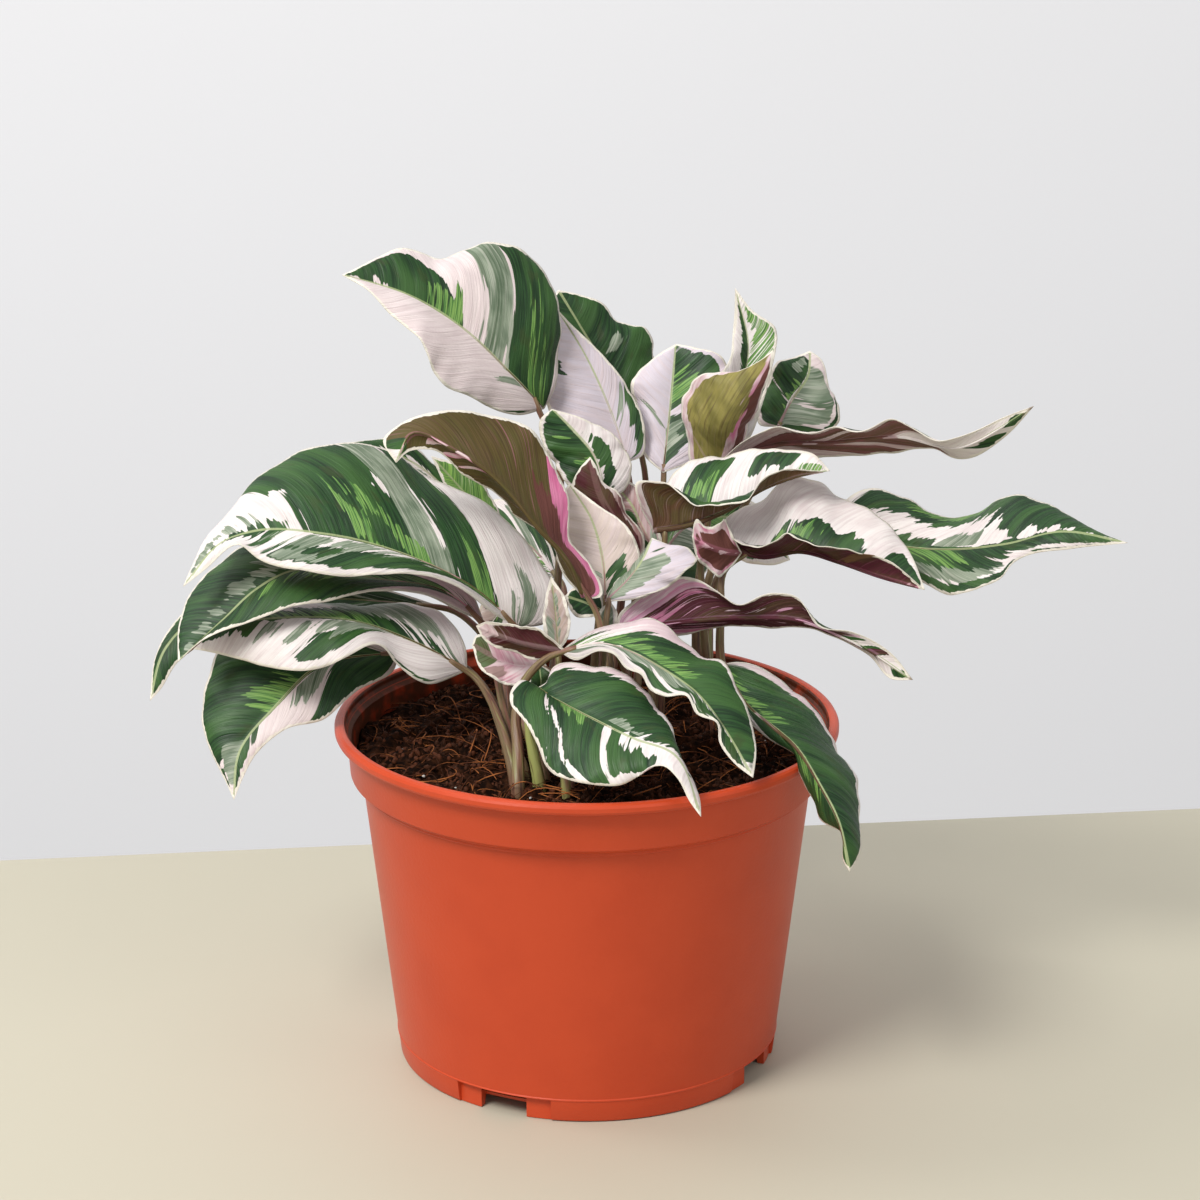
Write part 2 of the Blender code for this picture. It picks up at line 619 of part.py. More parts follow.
            "midrib": ((608, 642, 20), (608, 622, 20), (610, 601, 20)),
            "left": ((601, 634), (599, 612)),
            "left_lean": (1, 1, 1),
            "right": ((614, 632), (617, 612)),
            "right_lean": (1, 1, 1),
        },
        "stalk": ((608, 640, 20), (611, 690, 23)),
        "foot": (8, -31),
    },
    "leaf_centre_beige": {
        "midrib": ((558, 651, 27), (556, 620, 27), (551, 576, 28)),
        "left": ((547, 640), (545, 600)),
        "left_lean": (1, 1, 1),
        "right": ((566, 642), (566, 600)),
        "right_lean": (1, 2, 1),
        "stalk": ((560, 690, 33), (563, 750, 40)),
        "foot": (-6, -46),
    },
    "leaf_front_dark": {
        "midrib": ((542, 697, 30), (541, 682, 30), (539, 664, 29)),
        "left": ((529, 688), (529, 674)),
        "left_lean": (1, 1, 1),
        "right": ((552, 688), (553, 674)),
        "right_lean": (1, 1, 1),
        "stalk": ((547, 735, 33),),
        "foot": (-5, -38),
    },
    "leaf_back_left": {
        "midrib": ((560, 580, -36), (520, 540, -58), (470, 540, -78), (430, 575, -92)),
        "left": ((540, 592), (490, 575), (440, 580)),
        "left_lean": (4, 6, 3),
        "right": ((550, 545), (505, 500), (450, 520)),
        "right_lean": (-6, -10, -5),
        "foot": (-12, 22),
    },
    "leaf_back_middle": {
        "midrib": ((600, 575, -42), (590, 525, -68), (580, 520, -92), (570, 565, -110)),
        "left": ((565, 570), (520, 540), (530, 548)),
        "left_lean": (0, 0, 0),
        "right": ((632, 560), (655, 525), (620, 545)),
        "right_lean": (0, 0, 0),
        "foot": (2, 42),
    },
    "leaf_back_right": {
        "midrib": ((650, 570, -44), (690, 525, -62), (740, 520, -80), (790, 560, -94)),
        "left": ((655, 535), (710, 490), (770, 515)),
        "left_lean": (-6, -10, -5),
        "right": ((670, 590), (725, 560), (775, 565)),
        "right_lean": (4, 6, 3),
        "foot": (30, 44),
    },
    "leaf_back_low": {
        "midrib": ((560, 610, -44), (540, 590, -62), (510, 600, -80), (480, 640, -92)),
        "left": ((545, 622), (515, 625), (485, 640)),
        "left_lean": (2, 2, 1),
        "right": ((545, 585), (505, 575), (478, 615)),
        "right_lean": (-6, -8, -3),
        "foot": (-20, 38),
    },
}


def margin_rail(leaf, side, midrib):
    """One edge of a blade: its pixels, set nearer or farther than the midrib by its lean."""
    picture = [leaf["midrib"][0][:2]] + list(leaf[side]) + [leaf["midrib"][-1][:2]]
    lengths = [0.0]
    for first, second in zip(picture, picture[1:]):
        lengths.append(lengths[-1] + math.dist(first, second))
    nears = [Vector((place, point[2], 0.0)) for place, point
             in zip(rail_shares(midrib), leaf["midrib"])]
    rail = []
    for point, length in zip(picture, lengths):
        share = length / lengths[-1]
        near = smooth_rail(nears, share).y + smooth_value(leaf[side + "_lean"], share)
        rail.append(sight(*point, near))
    return rail


def rail_shares(points):
    lengths = [0.0]
    for first, second in zip(points, points[1:]):
        lengths.append(lengths[-1] + (second - first).length)
    return [length / lengths[-1] for length in lengths]


def blade_point(midrib, margin, share, column, side):
    """A point of one half of a blade, `column` of the way from the midrib to the margin."""
    middle = smooth_rail(midrib, share)
    edge = smooth_rail(margin, share) - middle
    ahead = smooth_rail(midrib, min(share + AHEAD, 1.0)) - smooth_rail(midrib, max(share - AHEAD, 0.0))
    upward = ahead.cross(edge) if side == "left" else edge.cross(ahead)
    if upward.length > 1e-6:
        upward.normalize()
    dome = 4 * column * (1 - column) * BLADE_BULGE * edge.length
    swing = math.sin(2 * math.pi * EDGE_WAVES * share + (0.0 if side == "left" else WAVE_LAG))
    wave = EDGE_WAVE * swing * column ** 2 * math.sin(math.pi * share)
    wave *= min(1.0, edge.length / WAVE_FULL_WIDTH)
    return middle + edge * column + upward * (dome + wave)


def make_blade(name, leaf, parts, material):
    """The blade as an open surface of triangles, given its thickness by Solidify."""
    midrib = [sight(*point) for point in leaf["midrib"]]
    margins = {side: margin_rail(leaf, side, midrib) for side in ("left", "right")}
    columns = [("left", 1 - step / HALF_COLUMNS) for step in range(HALF_COLUMNS)]
    columns += [("right", step / HALF_COLUMNS) for step in range(HALF_COLUMNS + 1)]
    width = len(columns)
    points = [midrib[0]]
    for row in range(1, BLADE_ROWS):
        share = row / BLADE_ROWS
        for side, column in columns:
            points.append(blade_point(midrib, margins[side], share, column, side))
    points.append(midrib[-1])
    tip = len(points) - 1
    faces = [(0, 2 + step, 1 + step) for step in range(width - 1)]
    for row in range(BLADE_ROWS - 2):
        for step in range(width - 1):
            lower = 1 + row * width + step
            upper = lower + width
            if step < HALF_COLUMNS:
                faces += [(lower, lower + 1, upper + 1), (lower, upper + 1, upper)]
            else:
                faces += [(lower, lower + 1, upper), (lower + 1, upper + 1, upper)]
    last = tip - width
    faces += [(last + step, last + step + 1, tip) for step in range(width - 1)]
    blade = new_object(name, mesh_from(name, points, faces), parts, material)
    blade.data.shade_smooth()
    thicken = blade.modifiers.new("Thickness", "SOLIDIFY")
    thicken.thickness = BLADE_THICKNESS * MM
    thicken.offset = 0.0
    return blade


def stalk_route(leaf):
    """The stalk's points, from inside the blade's base down into the soil."""
    midrib = [sight(*point) for point in leaf["midrib"]]
    x, y = leaf["foot"]
    level = soil_height(x, y)
    bends = [smooth_rail(midrib, STALK_INSET), midrib[0]]
    bends += [sight(*point) for point in leaf.get("stalk", ())]
    bends += [Vector((x, y, level + STALK_STAND))]
    route = [smooth_rail(bends, step / STALK_STEPS) for step in range(STALK_STEPS)]
    route += [Vector((x, y, level + STALK_COLLAR)), Vector((x, y, level - STALK_DEPTH))]
    return route


def make_stalk(name, leaf, collection):
    route = stalk_route(leaf)
    thick = leaf.get("stalk_radius", STALK_RADIUS)
    curve = bpy.data.curves.new(name + "_stalk", "CURVE")
    curve.dimensions = "3D"
    curve.bevel_depth = thick * MM
    curve.bevel_resolution = 1
    curve.use_fill_caps = True
    spline = curve.splines.new("POLY")
    spline.points.add(len(route) - 1)
    for step, point in enumerate(route):
        spline.points[step].co = (*(point * MM), 1.0)
        share = min(step / (STALK_STEPS - 1), 1.0)
        spline.points[step].radius = (STALK_TOP_RADIUS + (thick - STALK_TOP_RADIUS) * share) / thick
    guide = bpy.data.objects.new(name + "_guide", curve)
    collection.objects.link(guide)
    graph = bpy.context.evaluated_depsgraph_get()
    mesh = bpy.data.meshes.new_from_object(guide.evaluated_get(graph))
    bpy.data.objects.remove(guide)
    bpy.data.curves.remove(curve)
    shape = bmesh.new()
    shape.from_mesh(mesh)
    bmesh.ops.remove_doubles(shape, verts=shape.verts, dist=0.00001)
    bmesh.ops.recalc_face_normals(shape, faces=shape.faces)
    shape.to_mesh(mesh)
    shape.free()
    stalk = bpy.data.objects.new(name + "_stalk", mesh)
    collection.objects.link(stalk)
    return stalk


def make_leaf(name, leaf, parts, material):
    """A blade with its stalk joined on."""
    blade = make_blade(name, leaf, parts, material)
    stalks = new_collection(name + "_joined")
    make_stalk(name, leaf, stalks)
    if "lobe" in leaf:
        lobe = make_blade(name + "_lobe", leaf["lobe"], stalks, material)
        freeze(lobe)
    join = blade.modifiers.new("Join", "BOOLEAN")
    join.operation = "UNION"
    join.operand_type = "COLLECTION"
    join.collection = stalks
    freeze(blade)
    for stalk in list(stalks.objects):
        bpy.data.objects.remove(stalk)
    bpy.data.collections.remove(stalks)
    return blade


def drill_holes(soil, cutters):
    """A plain hole in the soil for each stalk, whose flats stay clear of it."""
    corner = 1 / math.cos(math.pi / HOLE_SIDES)
    for name, leaf in LEAVES.items():
        x, y = leaf["foot"]
        reach = leaf.get("stalk_radius", STALK_RADIUS) + STALK_GAP
        bpy.ops.mesh.primitive_cylinder_add(vertices=HOLE_SIDES, radius=reach * corner * MM,
                                            depth=2 * (STALK_DEPTH + STALK_GAP) * MM,
                                            location=(x * MM, y * MM, soil_height(x, y) * MM))
        cutter = bpy.context.object
        cutter.name = name + "_hole"
        for holder in cutter.users_collection:
            holder.objects.unlink(cutter)
        cutters.objects.link(cutter)
        hide_cutter(cutter)
        cut = soil.modifiers.new(cutter.name, "BOOLEAN")
        cut.object = cutter
        cut.operation = "DIFFERENCE"


def main():
    for piece in list(bpy.data.objects):
        bpy.data.objects.remove(piece)
    parts = new_collection("potted_calathea")
    cutters = new_collection("cutters")
    terracotta = new_material("terracotta_plastic", (0.58, 0.07, 0.025), 0.38)
    compost = new_material("compost", (0.045, 0.022, 0.012), 0.95)
    green = new_material("leaf_green", (0.05, 0.13, 0.05), 0.4)
    make_pot(parts, cutters, terracotta)
    soil = make_soil(parts, compost)
    drill_holes(soil, cutters)
    for name, leaf in LEAVES.items():
        make_leaf(name, leaf, parts, green)


main()
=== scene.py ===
"""The looks of a potted calathea: veined, many-coloured leaves, a plastic pot and coir compost."""
import math

import bpy
import numpy as np
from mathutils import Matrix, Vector


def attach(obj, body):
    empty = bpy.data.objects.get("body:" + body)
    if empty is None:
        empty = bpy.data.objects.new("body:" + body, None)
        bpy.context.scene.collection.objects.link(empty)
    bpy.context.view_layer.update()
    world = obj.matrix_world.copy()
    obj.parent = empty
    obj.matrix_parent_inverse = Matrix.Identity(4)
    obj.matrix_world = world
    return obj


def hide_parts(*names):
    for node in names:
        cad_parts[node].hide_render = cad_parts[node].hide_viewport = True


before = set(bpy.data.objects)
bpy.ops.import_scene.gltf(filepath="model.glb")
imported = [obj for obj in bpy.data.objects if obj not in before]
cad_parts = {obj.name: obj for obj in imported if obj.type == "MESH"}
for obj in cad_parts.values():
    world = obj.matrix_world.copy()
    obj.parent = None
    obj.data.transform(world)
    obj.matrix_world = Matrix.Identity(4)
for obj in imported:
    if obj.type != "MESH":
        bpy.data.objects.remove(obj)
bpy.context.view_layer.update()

MM = 0.001

# The pot, as the solids have it
RIM_RADIUS = 76.0
POT_HEIGHT = 106.5
LIP_HEIGHT = 3.6
LIP_WIDTH = 3.2
COLLAR_TOP_RADIUS = 72.4
COLLAR_FOOT_RADIUS = 71.5
COLLAR_FOOT_HEIGHT = 91.0
LEDGE_WIDTH = 1.4
LEDGE_HEIGHT = 0.9
SHOULDER_RADIUS = 67.8
SHOULDER_HEIGHT = 88.4
ROUNDING = 0.6
FOOT_RADIUS = 57.8
FOOT_WIDTH = 3.0
WALL = 1.4
FLOOR = 2.0
PAD_RADIUS = 22.0
CHANNEL_HEIGHT = 3.0
NOTCH_ANGLES = (-26.0, 64.0, 154.0, 244.0)
NOTCH_WIDTH = 15.0
NOTCH_HEIGHT = 6.0
RECESS_WIDTH = 31.0
RECESS_DEPTH = 0.9
RECESS_STEPS = 12
RECESS_REACH = 5.0
RECESS_ABOVE = 1.0
CUTTER_REACH = 10.0
POT_FINE_STEPS = 240
PARTING_HEIGHT = 7.0
POT_CREASE = 20.0

# The compost
SOIL_LEVEL = 96.0
SOIL_CROWN = 4.0
SOIL_LUMP = 1.3
LUMP_ACROSS = 0.21
LUMP_ALONG = 0.19
SLANT_ACROSS = 0.37
SLANT_ALONG = 0.31
SLANT_SHARE = 0.6
LUMP_START_ACROSS = 1.3
LUMP_START_ALONG = 0.4
STALK_DEPTH = 9.0
TINY = 1e-9

# The blades and their stalks
BLADE_BULGE = 0.09
EDGE_WAVE = 1.1
EDGE_WAVES = 3.5
RIGHT_WAVE_START = 1.9
FULL_WAVE_WIDTH = 15.0
STALK_RADIUS = 1.5
STALK_TOP_RADIUS = 0.85
STALK_INSET = 0.07
STALK_STAND = 4.0
STALK_COLLAR = 1.5
STALK_FOOT_GAP = 0.3
LEAF_THICKNESS = 0.5
LEAF_ROWS = 84
LEAF_COLUMNS = 16
VEIN_SWEEP = 0.4
LEAN_PLACES = (0.0, 0.2, 0.5, 0.8, 1.0)
AHEAD = 0.03
BLADE_END = 0.0015
COLUMN_EVENNESS = 0.9

# The eye that the leaves are placed from, at the photograph's view of the pot
PICTURE_CENTRE = 600.0
LENS_PIXELS = 3441.4
EYE_DISTANCE = 1039.0
EYE_ELEVATION = math.radians(19.371)
VIEW_PITCH = math.radians(17.438)
VIEW_YAW = math.radians(0.232)

# The fine form of a blade
RIPPLES = 9.0
RIPPLE_BEAT = 2.3
RIPPLE_HEIGHT = 0.5
RIPPLE_START = {"left": 0.4, "right": 2.2}
FOLD_SPACING = 5.2
FOLD_HEIGHT = 0.16
PATCH_SQUARENESS = 4.0
PATCH_NEAR_MIDRIB = 0.06
PATCH_NEAR_EDGE = 0.93
PATCH_KINDS = ("dark", "silver", "light", "deep", "pink", "shown", "dry")
GREEN_KINDS = ("dark", "silver", "light")
EXTRA_FIELDS = ("deep", "shown", "dry")
FLAT_FIELDS = ("along", "signed", "pink", "edge", *EXTRA_FIELDS)
OUTSIDE = -20.0
VEIN_SPAN = 100.0
UPPER_FACE, UNDER_FACE, STALK_FACE = 0, 1, 2
EDGE_TAPER = 1.2
THINNEST_EDGE = 0.35
FAR_FROM_EDGE = 9.0
LOBE_SEED_STEP = 0.5
LEAF_SEED_STEP = 3.7

# Stalks and midribs
STALK_RINGS = 30
STALK_THICKENING = 1.2
STALK_COARSE_STEPS = 5
STALK_SIDES = 12
RIB_RADIUS = 0.75
RIB_SIDES = 8
RIB_TIP_RADIUS = 0.12
RIB_TAPER = 0.7
RIB_SUNK = 0.5

# The compost's top and what is strewn on it
SOIL_GAP = 0.3
SOIL_FINE_RINGS = 76
SOIL_FINE_STEPS = 200
CLOD_SEED = 21
CLOD_WAVES = 26
CLOD_HEIGHT = 1.0
CLOD_LENGTHS = (3.0, 11.0)
LITTER_REACH = 68.6
LITTER_GROUND_RINGS = 24
LITTER_GROUND_STEPS = 72
FIBRE_STEPS = 7
FIBRE_SIDES = 4

# Each fibre's two ends, the bend between them and its thickness, for a fibre of unit length
FIBRE_FORMS = (
    ((-0.5, 0.0, -0.02), (0.0, 0.3, 0.16), (0.5, 0.0, 0.0), 0.009),
    ((-0.5, 0.0, 0.0), (0.1, -0.45, 0.25), (0.4, 0.1, 0.02), 0.008),
    ((-0.4, -0.1, -0.02), (-0.1, 0.6, 0.1), (0.35, -0.1, 0.12), 0.010),
    ((-0.6, 0.1, 0.0), (0.0, -0.12, 0.3), (0.6, 0.0, -0.02), 0.006),
    ((-0.3, 0.0, -0.04), (0.25, 0.05, 0.45), (0.45, 0.3, 0.2), 0.010),
)
CRUMB_FORMS = ((1.0, 0.8, 0.6), (0.7, 1.1, 0.5), (1.3, 0.6, 0.5))

# The litter: pieces a square metre, the seed, the smallest and largest size in millimetres, and
# how far a piece may tilt in radians
LITTER = {
    "soil_fibres_orange": (20000.0, 3, 4.0, 22.0, 0.3),
    "soil_fibres_brown": (36000.0, 8, 4.0, 16.0, 0.35),
    "soil_crumbs": (190000.0, 5, 0.3, 1.5, 3.0),
    "soil_perlite": (1300.0, 12, 0.4, 0.9, 3.0),
}

# The table and the light
TABLE_EDGE_LEFT = (0.0, 860.0)
TABLE_EDGE_RIGHT = (1200.0, 808.0)
TABLE_REACH = 0.6
TABLE_DEPTH = 1.6
TABLE_COLOUR = (0.505, 0.475, 0.375)
WALL_COLOUR = (0.80, 0.80, 0.81)
WALL_PLACE = 1.3
WALL_GLOW = 0.22
SURROUND_STRENGTH = 0.42
PLANT_AIM = (0.0, 0.0, 0.13)
WALL_AIM = (-0.1, 1.3, 0.3)
WALL_CORNERS = ((-3.0, -1.5), (3.0, -1.5), (3.0, 3.0), (-3.0, 3.0))
TABLE_DROP = 0.0002
SENSOR_WIDTH = 36.0

# Each light: its place and size in metres, its power in watts, what it is aimed at, its colour
LIGHTS = {
    "key": ((-0.78, -0.88, 1.42), 0.7, 28.0, PLANT_AIM, (1.0, 0.985, 0.96)),
    "fill": ((1.0, -1.05, 1.35), 1.4, 5.5, PLANT_AIM, (0.97, 0.98, 1.0)),
    "low_front": ((0.2, -1.4, 0.3), 1.2, 1.8, PLANT_AIM, (1.0, 0.98, 0.95)),
    "top": ((-0.1, 0.3, 1.6), 1.2, 3.0, PLANT_AIM, (1.0, 1.0, 1.0)),
    "wall_wash": ((-1.3, 0.3, 1.5), 0.8, 9.5, WALL_AIM, (1.0, 1.0, 1.0)),
}

# Each leaf: the midrib from stalk to tip as pixels and a nearness in millimetres, its left and
# right edges as pixels, seen with its upper face up and its tip ahead, how much nearer than the
# midrib each edge lies at a fifth, half and four fifths of its length, the stalk's bends, and
# the place of the stalk in the soil in millimetres.
LEAVES = {
    "leaf_left_large": {
        "midrib": ((520, 628, 14), (475, 589, 20), (405, 555, 26), (322, 534, 30), (252, 532, 32),
                   (224, 542, 33), (183, 587, 34)),
        "left": ((500, 618), (451, 583), (374, 574), (315, 574), (256, 557), (241, 545), (205, 570)),
        "left_lean": (8, 14, 6),
        "right": ((547, 622), (558, 595), (542, 564), (518, 533), (482, 502), (440, 480), (384, 450),
                  (297, 452), (252, 482), (233, 510), (206, 538), (192, 566)),
        "right_lean": (-8, -16, -10),
        "stalk": ((521, 660, 16), (526, 730, 26)),
        "foot": (-12, -36),
    },
    "leaf_left_second": {
        "midrib": ((484, 622, 8), (447, 593, 12), (380, 580, 18), (284, 574, 22), (256, 590, 24),
                   (223, 621, 26), (178, 662, 28)),
        "left": ((464, 614), (419, 593), (379, 592), (308, 604), (252, 621), (215, 634), (192, 648)),
        "left_lean": (6, 10, 6),
        "right": ((470, 590), (400, 566), (300, 560), (244, 546), (216, 563), (192, 593), (179, 625)),
        "right_lean": (-6, -8, -8),
        "stalk": ((496, 670, 12), (512, 740, 24)),
        "foot": (-18, -32),
    },
    "leaf_left_third": {
        "midrib": ((467, 670, 10), (416, 643, 16), (352, 621, 20), (289, 618, 20), (215, 630, 15),
                   (186, 648, 12)),
        "left": ((453, 677), (428, 684), (396, 663), (381, 647), (340, 659), (306, 671), (239, 659),
                 (205, 651)),
        "left_lean": (5, 10, 5),
        "right": ((466, 650), (448, 618), (400, 604), (330, 606), (260, 606), (215, 618)),
        "right_lean": (-8, -12, -6),
        "stalk": ((487, 694, 16), (502, 730, 26)),
        "stalk_radius": 1.8,
        "foot": (-21, -39),
    },
    "leaf_left_low": {
        "midrib": ((398, 652, 2), (314, 669, 8), (278, 704, 12), (239, 754, 16), (234, 800, 18)),
        "left": ((395, 668), (358, 690), (327, 717), (286, 730), (256, 754), (243, 778)),
        "left_lean": (2, 4, 2),
        "right": ((370, 632), (290, 632), (225, 642), (209, 676), (201, 712), (213, 756), (226, 782)),
        "right_lean": (-6, -8, -3),
        "stalk": ((440, 654, 3), (470, 672, 6), (492, 700, 10), (506, 740, 18)),
        "foot": (-22, -29),
    },
    "leaf_left_far": {
        "midrib": ((440, 606, -10), (300, 600, -6), (200, 615, 0), (165, 650, 4), (150, 701, 6)),
        "left": ((380, 622), (290, 628), (210, 640), (178, 662), (160, 690)),
        "left_lean": (3, 4, 2),
        "right": ((380, 588), (290, 578), (215, 590), (178, 618), (156, 655)),
        "right_lean": (-3, -4, -2),
        "stalk": ((500, 660, -4),),
        "foot": (-24, -12),
    },
    "leaf_left_behind": {
        "midrib": ((480, 545, -22), (430, 475, -14), (380, 449, -8), (308, 452, -2)),
        "left": ((452, 545), (400, 484), (350, 458)),
        "left_lean": (3, 4, 2),
        "right": ((480, 510), (434, 463), (400, 440), (350, 443)),
        "right_lean": (-3, -4, -2),
        "stalk": ((520, 620, -20),),
        "foot": (-26, 12),
    },
    "leaf_left_young": {
        "midrib": ((505, 548, -8), (470, 500, -4), (431, 456, 0)),
        "left": ((480, 545), (448, 492)),
        "left_lean": (2, 2, 1),
        "right": ((500, 515), (462, 466)),
        "right_lean": (-2, -2, -1),
        "stalk": ((525, 620, -6),),
        "foot": (-16, 2),
    },
    "leaf_centre_olive": {
        "midrib": ((585, 599, 30), (567, 562, 34), (541, 533, 38), (488, 473, 42), (453, 450, 43),
                   (412, 434, 42), (396, 463, 40)),
        "left": ((601, 597), (592, 566), (569, 540), (570, 496), (551, 460), (526, 428), (476, 411),
                 (440, 412), (400, 424), (383, 440)),
        "left_lean": (-6, -12, -5),
        "right": ((566, 578), (552, 547), (517, 513), (466, 475), (430, 450), (408, 452)),
        "right_lean": (-6, -9, -4),
        "stalk": ((602, 622, 30), (603, 650, 31), (590, 720, 30)),
        "foot": (-4, -31),
    },
    "leaf_crown_west": {
        "midrib": ((544, 409, -6), (509, 372, 3), (462, 328, 9), (412, 297, 14), (342, 275, 18)),
        "left": ((521, 415), (468, 397), (447, 387), (433, 366), (418, 341), (389, 312), (367, 290)),
        "left_lean": (8, 14, 8),
        "right": ((556, 385), (559, 347), (560, 325), (553, 289), (535, 258), (488, 243), (444, 257),
                  (400, 249), (376, 258), (359, 267)),
        "right_lean": (-6, -8, -4),
        "stalk": ((558, 460, -9), (557, 600, -5)),
        "foot": (-9, -5),
    },
    "leaf_crown_pale": {
        "midrib": ((628, 462, -17), (610, 410, -17), (585, 355, -16), (556, 308, -14)),
        "left": ((600, 462), (560, 430), (545, 395), (548, 340)),
        "left_lean": (2, 4, 2),
        "right": ((642, 456), (645, 431), (625, 383), (600, 352), (568, 321)),
        "right_lean": (-1, -2, -1),
        "stalk": ((625, 560, -12),),
        "foot": (6, 8),
    },
    "leaf_crown_back": {
        "midrib": ((640, 440, -36), (615, 385, -36), (587, 338, -34), (558, 290, -32)),
        "left": ((600, 430), (570, 380), (553, 330), (552, 300)),
        "left_lean": (2, 3, 2),
        "right": ((665, 410), (657, 362), (645, 329), (620, 322), (602, 303), (584, 296)),
        "right_lean": (-4, -8, -4),
        "stalk": ((640, 540, -36),),
        "foot": (12, 36),
    },
    "leaf_crown_fan": {
        "midrib": ((663, 473, -18), (668, 430, -22), (672, 390, -24), (676, 344, -25)),
        "left": ((644, 455), (638, 413), (631, 385), (655, 357)),
        "left_lean": (-2, -3, -2),
        "right": ((690, 462), (720, 430), (730, 390), (721, 356), (697, 348)),
        "right_lean": (2, 3, 2),
        "stalk": ((664, 540, -22),),
        "foot": (22, 22),
    },
    "leaf_rolled": {
        "midrib": ((722, 462, -12), (738, 400, -16), (748, 350, -17), (735, 288, -15)),
        "left": ((704, 445), (712, 395), (729, 358), (734, 320)),
        "left_lean": (4, 5, 2),
        "right": ((748, 440), (766, 390), (776, 350), (776, 329), (752, 310)),
        "right_lean": (2, 2, 1),
        "lobe": {
            "midrib": ((718, 482, -12), (721, 455, -9), (724, 425, 0), (740, 396, 4), (773, 350, -2)),
            "left": ((692, 466), (687, 430), (682, 398), (693, 381), (712, 373), (737, 371), (761, 360)),
            "left_lean": (-4, -6, -3),
            "right": ((742, 446), (754, 415), (766, 384), (773, 361)),
            "right_lean": (-4, -6, -3),
        },
        "stalk": ((708, 520, -14), (697, 600, -17)),
        "foot": (34, 24),
    },
    "leaf_fan_east": {
        "midrib": ((778, 427, -26), (792, 400, -30), (808, 375, -32), (810, 351, -33)),
        "left": ((760, 425), (757, 402), (768, 382), (776, 363), (795, 357)),
        "left_lean": (-2, -3, -1),
        "right": ((805, 434), (838, 425), (838, 406), (829, 385), (820, 358)),
        "right_lean": (-2, -4, -2),
        "stalk": ((750, 500, -30), (714, 560, -31), (703, 640, -32)),
        "foot": (34, 32),
    },
    "leaf_east_wavy": {
        "midrib": ((722, 460, -5), (776, 444, -3), (838, 441, 4), (900, 436, 12), (960, 447, 16),
                   (1000, 428, 20), (1034, 406, 22)),
        "left": ((760, 458), (818, 458), (855, 457), (893, 450), (932, 451), (962, 459), (1005, 437)),
        "left_lean": (-8, -10, -4),
        "right": ((745, 440), (776, 428), (808, 435), (838, 425), (863, 432), (888, 421), (942, 440),
                  (971, 433), (1002, 418)),
        "right_lean": (8, 10, 4),
        "stalk": ((704, 520, -5), (702, 610, -8)),
        "foot": (39, 12),
    },
    "leaf_east_broad": {
        "midrib": ((836, 530, -20), (904, 547, -12), (946, 550, -4), (1009, 544, 6), (1062, 532, 12),
                   (1128, 543, 16)),
        "left": ((840, 508), (870, 488), (904, 497), (940, 517), (967, 515), (988, 503), (1020, 497),
                 (1051, 505), (1104, 535)),
        "left_lean": (-8, -12, -5),
        "right": ((858, 560), (925, 583), (950, 594), (980, 590), (1001, 579), (1011, 564), (1072, 549)),
        "right_lean": (8, 12, 4),
        "stalk": ((786, 532, -24), (738, 546, -25), (713, 590, -24), (709, 640, -23)),
        "foot": (38, 21),
    },
    "leaf_east_trough": {
        "midrib": ((735, 548, 6), (760, 556, 8), (800, 551, 10), (839, 562, 14), (880, 577, 18),
                   (925, 590, 22)),
        "left": ((722, 528), (740, 508), (768, 496), (786, 480), (817, 481), (845, 499), (888, 524),
                 (905, 544), (917, 568)),
        "left_lean": (-12, -16, -8),
        "right": ((728, 536), (743, 544), (757, 549), (771, 545), (788, 531), (813, 547), (848, 549),
                  (890, 562)),
        "right_lean": (10, 9, 4),
        "lobe": {
            "midrib": ((742, 553, 9), (722, 551, 14), (706, 545, 17), (692, 537, 18)),
            "left": ((733, 536), (724, 519), (712, 527), (705, 526), (697, 519)),
            "left_lean": (2, 3, 2),
            "right": ((732, 566), (719, 577), (708, 569), (698, 560)),
            "right_lean": (-1, -2, -1),
        },
        "stalk": ((724, 590, 7), (720, 627, 6)),
        "stalk_radius": 1.8,
        "foot": (43, 5),
    },
    "leaf_east_upper": {
        "midrib": ((652, 530, 12), (690, 524, 14), (725, 511, 14), (765, 488, 13), (800, 476, 13),
                   (830, 471, 13)),
        "left": ((650, 500), (666, 482), (691, 462), (737, 453), (784, 449), (813, 454)),
        "left_lean": (-8, -10, -4),
        "right": ((640, 505), (636, 484), (666, 484), (690, 501), (726, 507), (748, 500), (757, 483),
                  (785, 470), (818, 471)),
        "right_lean": (8, 8, 3),
        "stalk": ((668, 565, 10), (664, 610, 5)),
        "foot": (18, -1),
    },
    "leaf_purple": {
        "midrib": ((618, 631, 22), (680, 622, 18), (749, 617, 18), (794, 619, 20), (850, 640, 22),
                   (913, 680, 24)),
        "left": ((632, 640), (683, 634), (753, 626), (822, 633), (870, 656), (891, 679)),
        "left_lean": (-8, -8, -3),
        "right": ((618, 617), (632, 602), (655, 589), (683, 577), (714, 589), (734, 602),
                  (775, 594), (797, 598),
                  (818, 625), (852, 632), (891, 653)),
        "right_lean": (4, 6, 3),
        "stalk": ((625, 670, 18), (632, 720, 20)),
        "foot": (12, -30),
    },
    "leaf_front_east": {
        "midrib": ((723, 664, 12), (749, 707, 26), (772, 726, 36), (796, 747, 45), (820, 785, 53),
                   (838, 820, 58), (850, 872, 60)),
        "left": ((738, 662), (778, 677), (815, 713), (842, 753), (858, 793), (861, 831), (859, 854)),
        "left_lean": (-6, -9, -4),
        "right": ((724, 690), (753, 726), (775, 744), (798, 757), (800, 772), (812, 800), (820, 819),
                  (846, 836), (843, 860)),
        "right_lean": (5, 6, 3),
